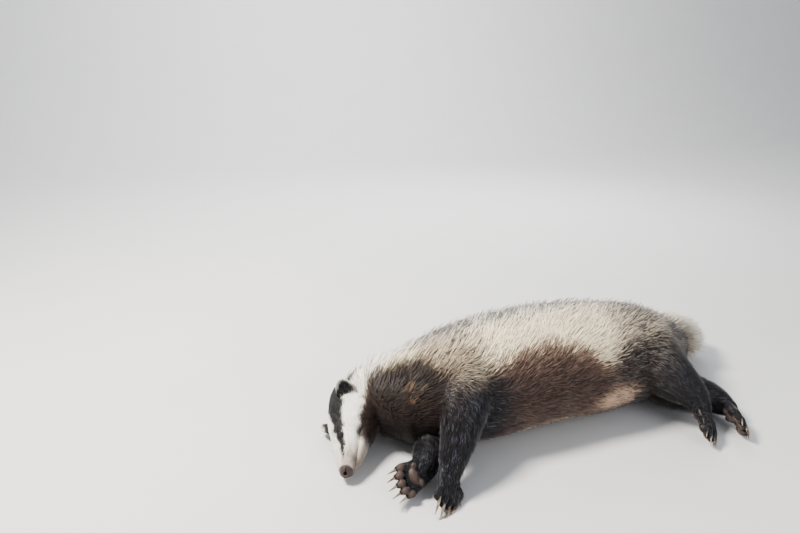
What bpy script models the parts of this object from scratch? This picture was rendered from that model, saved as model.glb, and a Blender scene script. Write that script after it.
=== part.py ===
"""A life-size european badger that lies on its right side, legs out in front of its belly and nose tucked
towards its forelegs. Metres, +Z up, +X towards the tail, -Y the way the belly and the legs face, the floor at
Z = 0."""

import math
import random
from collections import Counter

import bmesh
import bpy
from mathutils import Matrix, Vector
from mathutils.bvhtree import BVHTree

# Driving dimensions of the whole animal
GAP = 0.0003  # between touching nodes
NOSE_TIP = Vector((-0.396, -0.126, 0.019))
OCCIPUT = Vector((-0.361, 0.022, 0.062))
FLOOR_HALF = 0.7  # of the floor that trims what rests on it
VOXEL = 0.0022
FINE_TRIANGLES = 2900  # on the head and the paws together
COARSE_TRIANGLES = 1700  # on the rest of the skin
SEED = 11
SHARP = math.radians(40)
UP = Vector((0, 0, 1))

# Trunk sections, nose end first: where the middle lies, half the depth from back to belly and half the width
# from side to side
TRUNK = (
    ((-0.290, 0.004, 0.072), 0.078, 0.072),
    ((-0.250, -0.008, 0.079), 0.100, 0.085),
    ((-0.197, -0.016, 0.087), 0.118, 0.093),
    ((-0.120, -0.004, 0.093), 0.127, 0.099),
    ((-0.016, 0.015, 0.095), 0.132, 0.101),
    ((0.070, 0.018, 0.095), 0.128, 0.101),
    ((0.144, 0.020, 0.092), 0.113, 0.098),
    ((0.200, 0.026, 0.087), 0.094, 0.091),
    ((0.245, 0.032, 0.082), 0.072, 0.077),
    ((0.275, 0.042, 0.080), 0.052, 0.056),
)
NECK = (
    ((-0.262, -0.010, 0.078), 0.096, 0.082),
    ((-0.300, 0.000, 0.073), 0.076, 0.074),
    ((-0.328, 0.006, 0.066), 0.060, 0.063),
    ((-0.348, -0.006, 0.060), 0.051, 0.055),
    ((-0.360, -0.030, 0.053), 0.042, 0.048),
)
# The long coat, from its tips to the core in which the locks root: how much less the core's sections measure,
# and how far their middles lie towards the belly and the floor, where the coat is thinner
CORE_LESS_DEPTH = 0.0080
CORE_LESS_WIDTH = 0.0065
CORE_SHIFT = Vector((0, -0.0030, -0.0045))
TAIL_CORE = 0.62  # of the tail's thickness
LOCK_LENGTH = 0.105
LOCK_WIDTH = 0.052
LOCK_THICKNESS = 0.0066
# Along the lock, and how far from the core to the tips of the coat it has risen there
LOCK_RISE = ((0.0, -0.50), (0.38, 0.36), (0.72, 0.72), (1.0, 1.0))
LOCK_RINGS = ((0.78, 1.0), (1.0, 0.9), (0.72, 0.62))  # shares of its width and thickness
LOCK_ROWS = 9
LOCK_DENSITY = 1.25  # more than 1 where locks of a row overlap
FIRST_ROW, LAST_ROW = 0.05, 0.84  # shares of the way from the ears to the rump
FIRST_LOCK, LAST_LOCK = math.radians(18), math.radians(212)  # from the belly over the side that is up
FLANK_TURN = math.radians(16)  # how far a lock on the side that is up turns to the back
BACK_TURN = math.radians(8)  # and one behind the spine, back towards it
LEG_CLEAR = 0.006
HEAD_CLEAR = 0.005
TAIL_LOCK_WIDTH = 0.040
TAIL_RINGS = ((0.10, 7), (0.34, 7), (0.56, 6))  # share of the way down the tail, and locks
# Head sections: distance behind the nose tip, half width, height above and below the snout's axis
HEAD = (
    (0.003, 0.0110, 0.0085, 0.010),
    (0.012, 0.0170, 0.0140, 0.015),
    (0.030, 0.0205, 0.0170, 0.017),
    (0.050, 0.0250, 0.0215, 0.019),
    (0.070, 0.0330, 0.0280, 0.023),
    (0.092, 0.0430, 0.0340, 0.030),
    (0.116, 0.0510, 0.0370, 0.038),
    (0.140, 0.0500, 0.0370, 0.042),
    (0.160, 0.0420, 0.0340, 0.040),
    (0.174, 0.0250, 0.0240, 0.026),
)
LIP_SQUARE = 0.55  # how straight the lips hang: 1 is an oval
MOUTH_FRONT, MOUTH_CORNER = 0.0140, 0.066  # behind the nose tip
NOSE_LENGTH = 0.0105
# Jaw sections: distance behind the nose tip, height over the snout's axis, half height and half width
JAW = (
    (0.0215, -0.0140, 0.0070, 0.0085),
    (0.030, -0.0165, 0.0095, 0.0135),
    (0.050, -0.0205, 0.0115, 0.0195),
    (0.072, -0.0250, 0.0145, 0.0280),
    (0.100, -0.0300, 0.0185, 0.0360),
)
TAIL = (
    ((0.240, 0.030, 0.086), 0.036, 0.036),
    ((0.288, 0.062, 0.084), 0.036, 0.036),
    ((0.325, 0.096, 0.072), 0.052, 0.046),
    ((0.365, 0.122, 0.057), 0.060, 0.051),
    ((0.400, 0.138, 0.047), 0.053, 0.045),
    ((0.420, 0.146, 0.041), 0.038, 0.034),
)
# The last hairs, past the end of the tail itself
TAIL_TIPS = (
    ((0.436, 0.153, 0.037), 0.022, 0.020),
    ((0.448, 0.157, 0.035), 0.009, 0.008),
)
# Legs, root to wrist or hock: where the middle lies, and half the thickness across and up
FORELEG_LEFT = (
    ((-0.178, -0.030, 0.110), 0.066, 0.060),
    ((-0.186, -0.070, 0.112), 0.060, 0.052),
    ((-0.202, -0.112, 0.099), 0.041, 0.037),
    ((-0.220, -0.146, 0.074), 0.029, 0.028),
    ((-0.236, -0.168, 0.051), 0.022, 0.023),
    ((-0.246, -0.186, 0.034), 0.015, 0.015),
)
FORELEG_RIGHT = (
    ((-0.208, -0.036, 0.050), 0.054, 0.045),
    ((-0.232, -0.078, 0.036), 0.038, 0.034),
    ((-0.256, -0.116, 0.029), 0.028, 0.027),
    ((-0.271, -0.141, 0.031), 0.022, 0.023),
    ((-0.284, -0.160, 0.033), 0.014, 0.016),
)
HINDLEG_LEFT = (
    ((0.190, 0.030, 0.096), 0.086, 0.074),
    ((0.186, -0.026, 0.104), 0.066, 0.062),
    ((0.194, -0.068, 0.094), 0.047, 0.048),
    ((0.212, -0.094, 0.077), 0.034, 0.037),
    ((0.231, -0.110, 0.060), 0.025, 0.027),
    ((0.236, -0.130, 0.044), 0.016, 0.017),
)
HINDLEG_RIGHT = (
    ((0.214, 0.020, 0.060), 0.068, 0.056),
    ((0.230, -0.028, 0.046), 0.050, 0.045),
    ((0.264, -0.062, 0.036), 0.036, 0.035),
    ((0.294, -0.086, 0.031), 0.025, 0.028),
    ((0.305, -0.114, 0.028), 0.016, 0.018),
)

# Eyes, on the head's own axes
EYE_BACK = 0.058
EYE_OUT = 0.0225
EYE_HIGH = 0.0135
EYE_RADIUS = 0.0056
EYE_DEPTH = 0.0052  # of its middle under the skin
LID = 0.0019
SLIT_LENGTH = 0.0108
SLIT_HEIGHT = 0.0028

# Ears
EAR_BACK = 0.122
EAR_OUT = 0.046
EAR_HIGH = 0.004
EAR_ROOT_CUT = 0.0072  # how far above the head the ear is parted from it
EAR_WIDTH = 0.034
EAR_HEIGHT = 0.027
EAR_ROOT = 0.010  # how far the ear's root reaches into the head
EAR_WALL = 0.0034
EAR_CUP = 0.008

# Toes, first digit first, as shares of the paw's length and width
TOE_REACH = (0.82, 0.95, 1.00, 0.98, 0.86)
TOE_SPREAD = (-0.40, -0.22, 0.00, 0.22, 0.40)
CLAW_SIDES = 5
CLAW_NARROW = 0.72  # a claw's width, of its height

# Cuts between the nodes: the left low and the right high corner of each, or all its corners, from its middle
NOSE_CUT = ((-0.03, -0.03), (0.03, 0.03))
HEAD_CUT = ((-0.062, -0.08), (0.10, 0.16))
PAW_CUT = ((-0.034, -0.034), (0.034, 0.034))
FOREPAW_RIGHT_CUT = ((-0.034, -0.034), (0.027, 0.034))
HINDPAW_CUT_ON = 0.013  # past the hock
EAR_CUT = ((-0.024, -0.0085), (0.024, 0.012))
# Where the middle of a cut lies, the way it faces, the way up on it, and its corners
CUTS = {
    "neck": ((-0.2850, 0.0, 0.06), (-1, 0, 0), UP, ((-0.20, -0.08), (0.112, 0.18))),
    "tail": ((0.2917, 0.0654, 0.083), (0.037, 0.034, -0.012), UP, ((-0.075, -0.075), (0.075, 0.075))),
    "foreleg left": ((-0.2150, -0.1430, 0.085), (-0.10, -1, 0), UP, ((-0.050, -0.048), (0.040, 0.060))),
    "foreleg right": ((-0.2520, -0.1100, 0.030), (-0.30, -0.77, -0.56), UP,
                      ((-0.036, -0.040), (0.042, 0.040))),
    "between forelegs": ((-0.2380, -0.1310, 0.0514), (0.554, -0.46, 0.69), UP,
                         ((-0.020, -0.012), (0.020, 0.014))),
    "hindleg left": ((0.2030, -0.0800, 0.085), (0.25, -0.97, 0), UP, ((-0.053, -0.055), (0.058, 0.065))),
    "beside hindlegs": ((0.2523, -0.0810, 0.045), (1, 0, 0), UP, ((-0.017, -0.007), (0.017, 0.032))),
    "between hindlegs": ((0.2030, -0.0800, 0.0408), UP, (0.25, -0.97, 0),
                         ((-0.012, -0.003), (0.053, 0.0270))),
    "hindleg right": ((0.2700, -0.0620, 0.036), (0.65, -0.76, 0), UP,
                      ((-0.060, -0.045), (0.044, -0.045), (0.044, 0.012), (0.020, 0.048), (-0.060, 0.048))),
}


def clear_scene():
    for obj in list(bpy.data.objects):
        bpy.data.objects.remove(obj, do_unlink=True)


def material(name, colour, roughness):
    made = bpy.data.materials.new(name)
    made.use_nodes = True
    shader = made.node_tree.nodes["Principled BSDF"]
    shader.inputs["Base Color"].default_value = (*colour, 1.0)
    shader.inputs["Roughness"].default_value = roughness
    shader.inputs["Metallic"].default_value = 0.0
    return made


def new_object(name, bm, helper=False):
    """The bmesh as an object. A helper is left out of the part."""
    bmesh.ops.recalc_face_normals(bm, faces=bm.faces[:])
    mesh = bpy.data.meshes.new(name)
    bm.to_mesh(mesh)
    bm.free()
    obj = bpy.data.objects.new(name, mesh)
    bpy.context.scene.collection.objects.link(obj)
    if helper:
        obj.hide_render = True
        obj.display_type = "WIRE"
    return obj


def smooth_rows(rows, steps):
    """The rows with `steps` stretches between each two, on a Catmull-Rom curve through all of them."""
    made = []
    for i in range(len(rows) - 1):
        before, start = rows[max(i - 1, 0)], rows[i]
        end, after = rows[i + 1], rows[min(i + 2, len(rows) - 1)]
        for k in range(steps):
            t = k / steps
            made.append(
                tuple(
                    0.5 * (2 * b + (c - a) * t + (2 * a - 5 * b + 4 * c - d) * t * t
                           + (3 * b - a - 3 * c + d) * t ** 3)
                    for a, b, c, d in zip(before, start, end, after)
                )
            )
    made.append(rows[-1])
    return made


def loft(bm, rings):
    """Joins rings of points, each the same count, into one closed skin with flat ends."""
    loops = [[bm.verts.new(point) for point in ring] for ring in rings]
    count = len(loops[0])
    for first, second in zip(loops, loops[1:]):
        for i in range(count):
            j = (i + 1) % count
            bm.faces.new((first[i], first[j], second[j], second[i]))
    bm.faces.new(list(reversed(loops[0])))
    bm.faces.new(loops[-1])


def limb(bm, stations, sides=20, steps=4, up=Vector((0, 0, 1))):
    """A closed tube of oval sections along the stations, with round ends. A station is its middle, half its
    depth and half its width, which lies near `up`."""
    rows = smooth_rows([(*middle, *sizes) for middle, *sizes in stations], steps)
    points = [Vector(row[:3]) for row in rows]
    rings = []
    for i, row in enumerate(rows):
        tangent = (points[min(i + 1, len(points) - 1)] - points[max(i - 1, 0)]).normalized()
        width = (up - tangent * up.dot(tangent)).normalized()
        depth = tangent.cross(width)
        rings.append((points[i], tangent, depth * row[3], width * row[4]))
    for end, out in ((0, -1), (-1, 1)):
        middle, tangent, depth, width = rings[end]
        for share in (0.5, 0.85):
            shrink = math.sqrt(1 - share * share)
            centre = middle + tangent * (out * share * width.length)
            rings.insert(0 if out < 0 else len(rings), (centre, tangent, depth * shrink, width * shrink))
    loft(
        bm,
        [
            [middle + depth * math.cos(math.tau * k / sides) + width * math.sin(math.tau * k / sides)
             for k in range(sides)]
            for middle, _, depth, width in rings
        ],
    )


def coat_core(stations):
    """The stations of the coat, drawn in to the core."""
    return [(Vector(middle) + CORE_SHIFT, depth - CORE_LESS_DEPTH, width - CORE_LESS_WIDTH)
            for middle, depth, width in stations]


def coat_point(rows, along, angle):
    """A point of the loft through the rows and the way out of it there, by the share of its length and the
    angle from the belly over the side that is up."""
    place = min(max(along, 0.0), 0.9999) * (len(rows) - 1)
    index = int(place)
    row = [a + (b - a) * (place - index) for a, b in zip(rows[index], rows[index + 1])]
    tangent = (Vector(rows[index + 1][:3]) - Vector(rows[index][:3])).normalized()
    width = (UP - tangent * UP.dot(tangent)).normalized()
    depth = tangent.cross(width)
    point = Vector(row[:3]) + depth * (row[3] * math.cos(angle)) + width * (row[4] * math.sin(angle))
    return point, (depth * (math.cos(angle) / row[3]) + width * (math.sin(angle) / row[4])).normalized()


def in_leg(point):
    """Whether the point is in or close over the upper part of a leg, where the coat is short."""
    return any((point - Vector(middle)).length < depth + LEG_CLEAR
               for stations in (FORELEG_LEFT, FORELEG_RIGHT, HINDLEG_LEFT, HINDLEG_RIGHT)
               for middle, depth, width in stations[1:])


def at_head(point):
    """Whether the point is past the neck's end or close before it."""
    return (point - HEAD_END).dot(HEAD_END_WAY) > -HEAD_CLEAR


def lock(core, coat, along, angle, reach, turn, width):
    """A flat lock that tapers from its root, sunk in the core, to its tip at the outside of the coat, or None
    where it would lie on a leg or the head."""
    spine = []
    for share, rise in LOCK_RISE:
        inner, out = coat_point(core, along + reach * share, angle + turn * share)
        outer = coat_point(coat, along + reach * share, angle + turn * share)[0]
        spine.append((inner + out * (rise * (outer - inner).dot(out)), out))
    corners = []
    for i, (wide, thick) in enumerate(LOCK_RINGS):
        point, out = spine[i]
        side = out.cross(spine[i + 1][0] - point).normalized() * (width * wide / 2)
        over = out * (LOCK_THICKNESS * thick / 2)
        corners.append((point - side, point + over, point + side, point - over))
    on_leg = any(in_leg(point) for point, _ in spine[1:])
    if on_leg or any(at_head(corner) for ring in corners for corner in ring):
        return None
    bm = bmesh.new()
    rings = [[bm.verts.new(corner) for corner in ring] for ring in corners]
    tip = bm.verts.new(spine[-1][0])
    bm.faces.new(rings[0])
    for first, second in zip(rings, rings[1:]):
        for i, k in ((0, 1), (2, 1), (2, 3), (0, 3)):
            bm.faces.new((first[i], first[k], second[i]))
            bm.faces.new((first[k], second[k], second[i]))
    for i in range(4):
        bm.faces.new((rings[-1][i], rings[-1][(i + 1) % 4], tip))
    return new_object("lock", bm, helper=True)


def body_locks():
    """Rows of locks from behind the ears to the rump, each row set between the locks of the one before."""
    draw = random.Random(SEED)
    stations = tuple(reversed(NECK[1:4])) + TRUNK[1:]
    coat = smooth_rows([(*middle, *sizes) for middle, *sizes in stations], 8)
    core = smooth_rows([(*middle, *sizes) for middle, *sizes in coat_core(stations)], 8)
    length = sum((Vector(b[:3]) - Vector(a[:3])).length for a, b in zip(coat, coat[1:]))
    made = []
    for row in range(LOCK_ROWS):
        along = FIRST_ROW + (LAST_ROW - FIRST_ROW) * row / (LOCK_ROWS - 1)
        middle_row = coat[round(along * (len(coat) - 1))]
        arc = (LAST_LOCK - FIRST_LOCK) * (middle_row[3] + middle_row[4]) / 2
        count = round(arc / LOCK_WIDTH * LOCK_DENSITY)
        for k in range(count):
            angle = FIRST_LOCK + (LAST_LOCK - FIRST_LOCK) * (k + 0.5 * (row % 2)) / count
            turn = FLANK_TURN * math.sin(angle) * draw.uniform(0.7, 1.3)
            if angle > math.pi:
                turn = -BACK_TURN * draw.uniform(0.5, 1.0)
            start = along + draw.uniform(-0.012, 0.012)
            angle += draw.uniform(-0.04, 0.04)
            reach = LOCK_LENGTH * draw.uniform(0.88, 1.12) / length
            made.append(lock(core, coat, start, angle, reach, turn, LOCK_WIDTH * draw.uniform(0.85, 1.10)))
    return [made_lock for made_lock in made if made_lock]


def tail_locks():
    """Rings of locks down the tail, the last ones spread past its end as a fan."""
    draw = random.Random(SEED + 1)
    stations = TAIL[1:] + TAIL_TIPS
    coat = smooth_rows([(*middle, *sizes) for middle, *sizes in stations], 8)
    core = [(*middle, *(size * TAIL_CORE for size in sizes)) for middle, *sizes in stations]
    core = smooth_rows(core, 8)
    made = []
    for ring, (along, count) in enumerate(TAIL_RINGS):
        for k in range(count):
            angle = math.tau * (k + 0.5 * (ring % 2)) / count
            start = along + draw.uniform(-0.02, 0.02)
            reach, turn = draw.uniform(0.38, 0.44), draw.uniform(-0.15, 0.15)
            made.append(lock(core, coat, start, angle, reach, turn, TAIL_LOCK_WIDTH * draw.uniform(0.9, 1.1)))
    return made


def ball(bm, place, radii, rows=10, sides=14):
    """A closed ellipsoid on the axes of `place`, a 4 by 4 matrix."""
    rings = []
    for i in range(1, rows):
        angle = math.pi * i / rows
        rings.append(
            [
                place @ Vector((radii[0] * math.sin(angle) * math.cos(math.tau * k / sides),
                                radii[1] * math.cos(angle),
                                radii[2] * math.sin(angle) * math.sin(math.tau * k / sides)))
                for k in range(sides)
            ]
        )
    loft(bm, rings)


def frame_of(origin, forward, up):
    """Axes with Y along `forward`, Z near `up` and X to the right of both."""
    forward = forward.normalized()
    up = (up - forward * up.dot(forward)).normalized()
    place = Matrix((forward.cross(up), forward, up)).transposed().to_4x4()
    place.translation = origin
    return place


# The head's own axes: X to its right, Y forward along the snout, Z to its crown, from the nose tip
HEAD_FRAME = frame_of(NOSE_TIP, NOSE_TIP - OCCIPUT, Vector((-1, 0, 0)))
LEFT, RIGHT = -1, 1
# The plane behind the ears and through the throat's crease, where the head ends
HEAD_END = Vector((-0.3480, -0.0240, 0.06))
HEAD_END_WAY = Vector((-0.933, -0.36, 0)).normalized()


def on_head(right, back, high):
    """A point of the head: to its right, behind the nose tip, above the snout's axis."""
    return HEAD_FRAME @ Vector((right, -back, high))


def head_way(right, forward, high):
    """A direction on the head's own axes."""
    return (HEAD_FRAME.to_3x3() @ Vector((right, forward, high))).normalized()


def head(bm, sides=24, steps=3):
    """Skull and snout as one loft, the jaw under it, cheeks, brows and lips."""
    rings = []
    for back, half_width, above, below in smooth_rows(HEAD, steps):
        ring = []
        for k in range(sides):
            angle = math.tau * k / sides
            out, high = math.cos(angle), math.sin(angle)
            if high < 0:
                out = math.copysign(abs(out) ** LIP_SQUARE, out)
            ring.append(on_head(out * half_width, back, high * (above if high > 0 else below)))
        rings.append(ring)
    loft(bm, rings)
    jaw = [(on_head(0, back, high), half_height, half_width) for back, high, half_height, half_width in JAW]
    limb(bm, jaw, 16, 3, head_way(1, 0, 0))
    crown = head_way(0, 0, 1)
    for side in (LEFT, RIGHT):
        cheek = frame_of(on_head(side * 0.030, 0.100, -0.006), head_way(-side * 0.3, 1, 0), crown)
        ball(bm, cheek, (0.019, 0.036, 0.026))
        over_eye = on_head(side * 0.0165, EYE_BACK + 0.006, 0.019)
        brow = frame_of(over_eye, head_way(-side * 0.4, 1, -0.3), crown)
        ball(bm, brow, (0.0085, 0.016, 0.0065))
    ball(bm, frame_of(on_head(0, 0.0075, 0.001), head_way(0, 1, 0), crown), (0.0128, 0.0090, 0.0098))


def mouth_cutter(surface, points=17, depth=0.0036, opening=0.0011, proud=0.003):
    """A thin wedge along the line of the mouth, from its left corner round the snout to the right."""
    up = head_way(0, 0, 1)
    rings = []
    for i in range(points):
        share = 2 * i / (points - 1) - 1
        side = abs(share)
        back = MOUTH_FRONT + (MOUTH_CORNER - MOUTH_FRONT) * side ** 1.35
        middle = on_head(0, back + 0.012 * (1 - side), -0.0098 - 0.0075 * side)
        turn = share * math.radians(95)
        out = head_way(math.sin(turn), math.cos(turn), -0.10)
        point = surface.ray_cast(middle + out * 0.08, -out)[0]
        lip = point + out * proud
        rings.append([lip + up * opening, lip - up * opening, point - out * depth])
    bm = bmesh.new()
    loft(bm, rings)
    return new_object("mouth_cutter", bm, helper=True)


def nostril_cutter(side):
    """A comma: a round hole with a slit that runs back along the side of the nose."""
    bm = bmesh.new()
    crown = head_way(0, 0, 1)
    hole = frame_of(on_head(side * 0.0052, -0.0010, 0.0015), head_way(side * 0.35, 1, 0), crown)
    ball(bm, hole, (0.0026, 0.0062, 0.0022), 6, 10)
    obj = new_object("nostril_cutter", bm, helper=True)
    slit_bm = bmesh.new()
    slit = frame_of(on_head(side * 0.0110, 0.0040, 0.0005), head_way(side * 0.75, 0.8, -0.1), crown)
    ball(slit_bm, slit, (0.0042, 0.0030, 0.0010), 6, 8)
    return obj, new_object("nostril_slit", slit_bm, helper=True)


def eye_frame(surface, side):
    """The eye's axes: Y out of the head, X along the lids' opening, Z to the brow."""
    out = head_way(side * 0.80, 0.28, 0.50)
    near = on_head(side * EYE_OUT, EYE_BACK, EYE_HIGH)
    point = surface.ray_cast(near + out * 0.05, -out)[0]
    return frame_of(point - out * EYE_DEPTH, out, head_way(side * -0.5, 0.1, 1))


def eyeball(name, place, radius, helper=False):
    bm = bmesh.new()
    ball(bm, place, (radius, radius, radius), 7, 12)
    return new_object(name, bm, helper)


def slit_cutter(place, points=9):
    """An almond between the lids, from inside the eye's room to well outside."""
    rings = []
    for out in (0.35 * EYE_RADIUS, EYE_RADIUS + 4 * LID):
        edge = []
        for i in range(points):
            along = math.cos(math.pi * i / (points - 1))
            edge.append((along, math.sin(math.pi * i / (points - 1)) ** 1.3 * 0.5))
        for i in range(points - 2, 0, -1):
            along = math.cos(math.pi * i / (points - 1))
            edge.append((along, -math.sin(math.pi * i / (points - 1)) ** 1.3 * 0.5))
        rings.append([place @ Vector((x * SLIT_LENGTH / 2, out, z * SLIT_HEIGHT)) for x, z in edge])
    bm = bmesh.new()
    loft(bm, rings)
    return new_object("slit_cutter", bm, helper=True)


def ear_frame(surface, side):
    """The ear's axes at its root on the head: X across it, Y to its tip, Z the way it opens. The floor folds
    the right ear up and back."""
    if side == LEFT:
        near = on_head(side * EAR_OUT, EAR_BACK, EAR_HIGH)
        reach, opens = head_way(side * 0.85, -0.34, 0.40), head_way(side * 0.45, 0.85, 0.10)
    else:
        near = on_head(side * EAR_OUT * 0.80, EAR_BACK, EAR_HIGH + 0.022)
        reach, opens = head_way(side * 0.22, -0.40, 0.88), head_way(side * 0.90, 0.40, 0.10)
    point = surface.ray_cast(near + reach * 0.05, -reach)[0]
    return frame_of(point, reach, opens)


def ear(place, rows=8, columns=7):
    """A rounded cup on a short thick root, its two faces split into triangles alike."""
    front, back = [], []
    for j in range(rows):
        up = math.sin(0.5 * math.pi * j / (rows - 1))
        half = EAR_WIDTH / 2 * math.sqrt(1 - 0.94 * (max(up - 0.25, 0) / 0.75) ** 2)
        wall = EAR_WALL * (1.8 - 1.1 * up)
        for layer, offset in ((front, 0.0), (back, -1.0)):
            row = []
            for i in range(columns):
                across = 2 * i / (columns - 1) - 1
                rim = 1 - across * across
                cup = -EAR_CUP * rim * min(up * 1.6, 1) * (1.0 - 0.5 * up)
                row.append(place @ Vector((across * half, (EAR_HEIGHT + EAR_ROOT) * up - EAR_ROOT,
                                           cup + offset * wall * (0.40 + 0.60 * rim) + 0.5 * EAR_CUP)))
            layer.append(row)
    bm = bmesh.new()
    loft(bm, [f + list(reversed(b)) for f, b in zip(front, back)])
    walls = list(enumerate(bm.faces[:2 * columns * (rows - 1)]))
    for method, is_back in (("FIXED", False), ("ALTERNATE", True)):
        chosen = [face for i, face in walls if (i % (2 * columns) >= columns) == is_back]
        bmesh.ops.triangulate(bm, faces=chosen, quad_method=method)
    return new_object("ear_form", bm, helper=True)


def slab(place, corners):
    """A thin cutter in the XZ plane of `place`, round its corners or between two opposite ones."""
    if len(corners) == 2:
        (left, low), (right, high) = corners
        corners = ((left, low), (right, low), (right, high), (left, high))
    bm = bmesh.new()
    loft(bm, [[place @ Vector((x, y, z)) for x, z in corners] for y in (-GAP / 2, GAP / 2)])
    return new_object("slab", bm, helper=True)


def paw_parts(skin, claws, place, length, width, claw_length, thick):
    """Palm and toes go into the skin, and claws into a mesh of their own. The axes of `place`: X from the
    first digit to the fifth, Y to the toes, Z to the back of the paw."""
    palm = (
        (place @ Vector((0, -0.10 * length, 0)), 0.34 * width, 0.44 * thick),
        (place @ Vector((0, 0.20 * length, 0)), 0.42 * width, 0.46 * thick),
        (place @ Vector((0, 0.48 * length, 0)), 0.47 * width, 0.42 * thick),
        (place @ Vector((0, 0.66 * length, -0.01 * length)), 0.40 * width, 0.30 * thick),
    )
    back = place.to_3x3() @ Vector((0, 0, 1))
    limb(skin, palm, 16, 3, back)
    for reach, spread in zip(TOE_REACH, TOE_SPREAD):
        root = Vector((0.78 * spread * width, 0.46 * length, 0.04 * thick))
        knuckle = Vector((0.95 * spread * width, (reach - 0.26) * length, 0.14 * thick))
        tip = Vector((1.04 * spread * width, reach * length, -0.10 * thick))
        toe = 0.125 * width
        limb(skin, ((place @ root, toe, toe), (place @ knuckle, toe * 1.02, toe * 1.08),
                    (place @ tip, toe * 0.80, toe * 0.82)), 10, 3, back)
        pad = place.copy()
        pad.translation = place @ (tip + Vector((0, -0.09 * length, -0.16 * thick)))
        ball(skin, pad, (0.115 * width, 0.10 * length, 0.20 * thick), 6, 8)
        claw_root = tip + Vector((0, -0.04 * length, 0.10 * thick))
        rings = []
        for step in range(4):
            share = step / 3
            drop = -0.34 * claw_length * share ** 1.7
            middle = claw_root + Vector((0.10 * spread * claw_length * share, share * claw_length, drop))
            size = 0.0030 * (1 - 0.82 * share) * (claw_length / 0.028) ** 0.4
            ring = []
            for k in range(CLAW_SIDES):
                angle = math.tau * k / CLAW_SIDES
                round_it = Vector((CLAW_NARROW * size * math.cos(angle), 0, size * math.sin(angle)))
                ring.append(place @ (middle + round_it))
            rings.append(ring)
        loft(claws, rings)
    heel = place.copy()
    heel.translation = place @ Vector((0, 0.42 * length, -0.34 * thick))
    ball(skin, heel, (0.34 * width, 0.17 * length, 0.20 * thick), 8, 12)


def paw_frames():
    """Each paw's axes at its wrist or hock, its length without claws, width, claw length and thickness."""
    return {
        "forepaw_left": (frame_of(Vector((-0.246, -0.176, 0.040)), Vector((-0.22, -0.72, -0.52)),
                                  Vector((0.55, -0.55, 0.60))), 0.056, 0.048, 0.024, 0.022),
        "forepaw_right": (frame_of(Vector((-0.276, -0.158, 0.033)), Vector((-0.88, -0.40, -0.06)),
                                   Vector((-0.25, 0.70, -0.62))), 0.056, 0.050, 0.024, 0.022),
        "hindpaw_left": (frame_of(Vector((0.238, -0.116, 0.050)), Vector((-0.20, -0.86, -0.40)),
                                  Vector((0.62, -0.30, 0.70))), 0.076, 0.040, 0.014, 0.024),
        "hindpaw_right": (frame_of(Vector((0.306, -0.100, 0.030)), Vector((-0.16, -0.95, -0.10)),
                                   Vector((0.80, -0.10, 0.45))), 0.082, 0.040, 0.014, 0.024),
    }


def applied(obj):
    """The object with its modifiers turned into its own mesh."""
    graph = bpy.context.evaluated_depsgraph_get()
    mesh = bpy.data.meshes.new_from_object(obj.evaluated_get(graph))
    obj.modifiers.clear()
    obj.data = mesh
    return obj


def decimated(obj, triangles, group):
    """The object with about so many triangles, taken only from the vertex group."""
    obj.data.calc_loop_triangles()
    thin = obj.modifiers.new("Thin", "DECIMATE")
    thin.ratio = min(triangles / len(obj.data.loop_triangles), 1)
    thin.use_collapse_triangulate = True
    thin.vertex_group = group
    return applied(obj)


def fused_body(claws):
    """Trunk, neck, head, tail and legs as one smooth closed skin, finest on the head and the paws."""
    bm = bmesh.new()
    tail = TAIL[:2] + tuple((middle, *(size * TAIL_CORE for size in sizes)) for middle, *sizes in TAIL[2:])
    neck = coat_core(NECK[:3]) + list(NECK[3:])
    for stations in (coat_core(TRUNK), neck, tail, FORELEG_LEFT, FORELEG_RIGHT, HINDLEG_LEFT, HINDLEG_RIGHT):
        limb(bm, stations)
    head(bm)
    paws = paw_frames()
    for place, length, width, claw_length, thick in paws.values():
        paw_parts(bm, claws, place, length, width, claw_length, thick)
    body = new_object("body", bm)
    remesh = body.modifiers.new("Fuse", "REMESH")
    remesh.mode = "VOXEL"
    remesh.voxel_size = VOXEL
    applied(body)
    fine = body.vertex_groups.new(name="fine")
    coarse = body.vertex_groups.new(name="coarse")
    is_fine = []
    to_head = HEAD_FRAME.inverted()
    to_paws = [(place.inverted(), length) for place, length, *_ in paws.values()]
    for vertex in body.data.vertices:
        on_snout = (to_head @ vertex.co).y > -0.150 and (vertex.co - HEAD_END).dot(HEAD_END_WAY) > 0.004
        in_paw = any((to_paw @ vertex.co).y > -0.006 and (to_paw @ vertex.co).length < 1.5 * length
                     for to_paw, length in to_paws)
        is_fine.append(on_snout or in_paw)
        (fine if is_fine[-1] else coarse).add([vertex.index], 1.0, "REPLACE")
    for group, rounds in (("coarse", 16), ("fine", 3)):
        smooth = body.modifiers.new("Blend " + group, "SMOOTH")
        smooth.factor = 0.5
        smooth.iterations = rounds
        smooth.vertex_group = group
    applied(body)
    fine_start = sum(2 for face in body.data.polygons if all(is_fine[i] for i in face.vertices))
    start = 2 * len(body.data.polygons)
    decimated(body, start - fine_start + FINE_TRIANGLES, "fine")
    return decimated(body, FINE_TRIANGLES + COARSE_TRIANGLES, "coarse")


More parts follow.
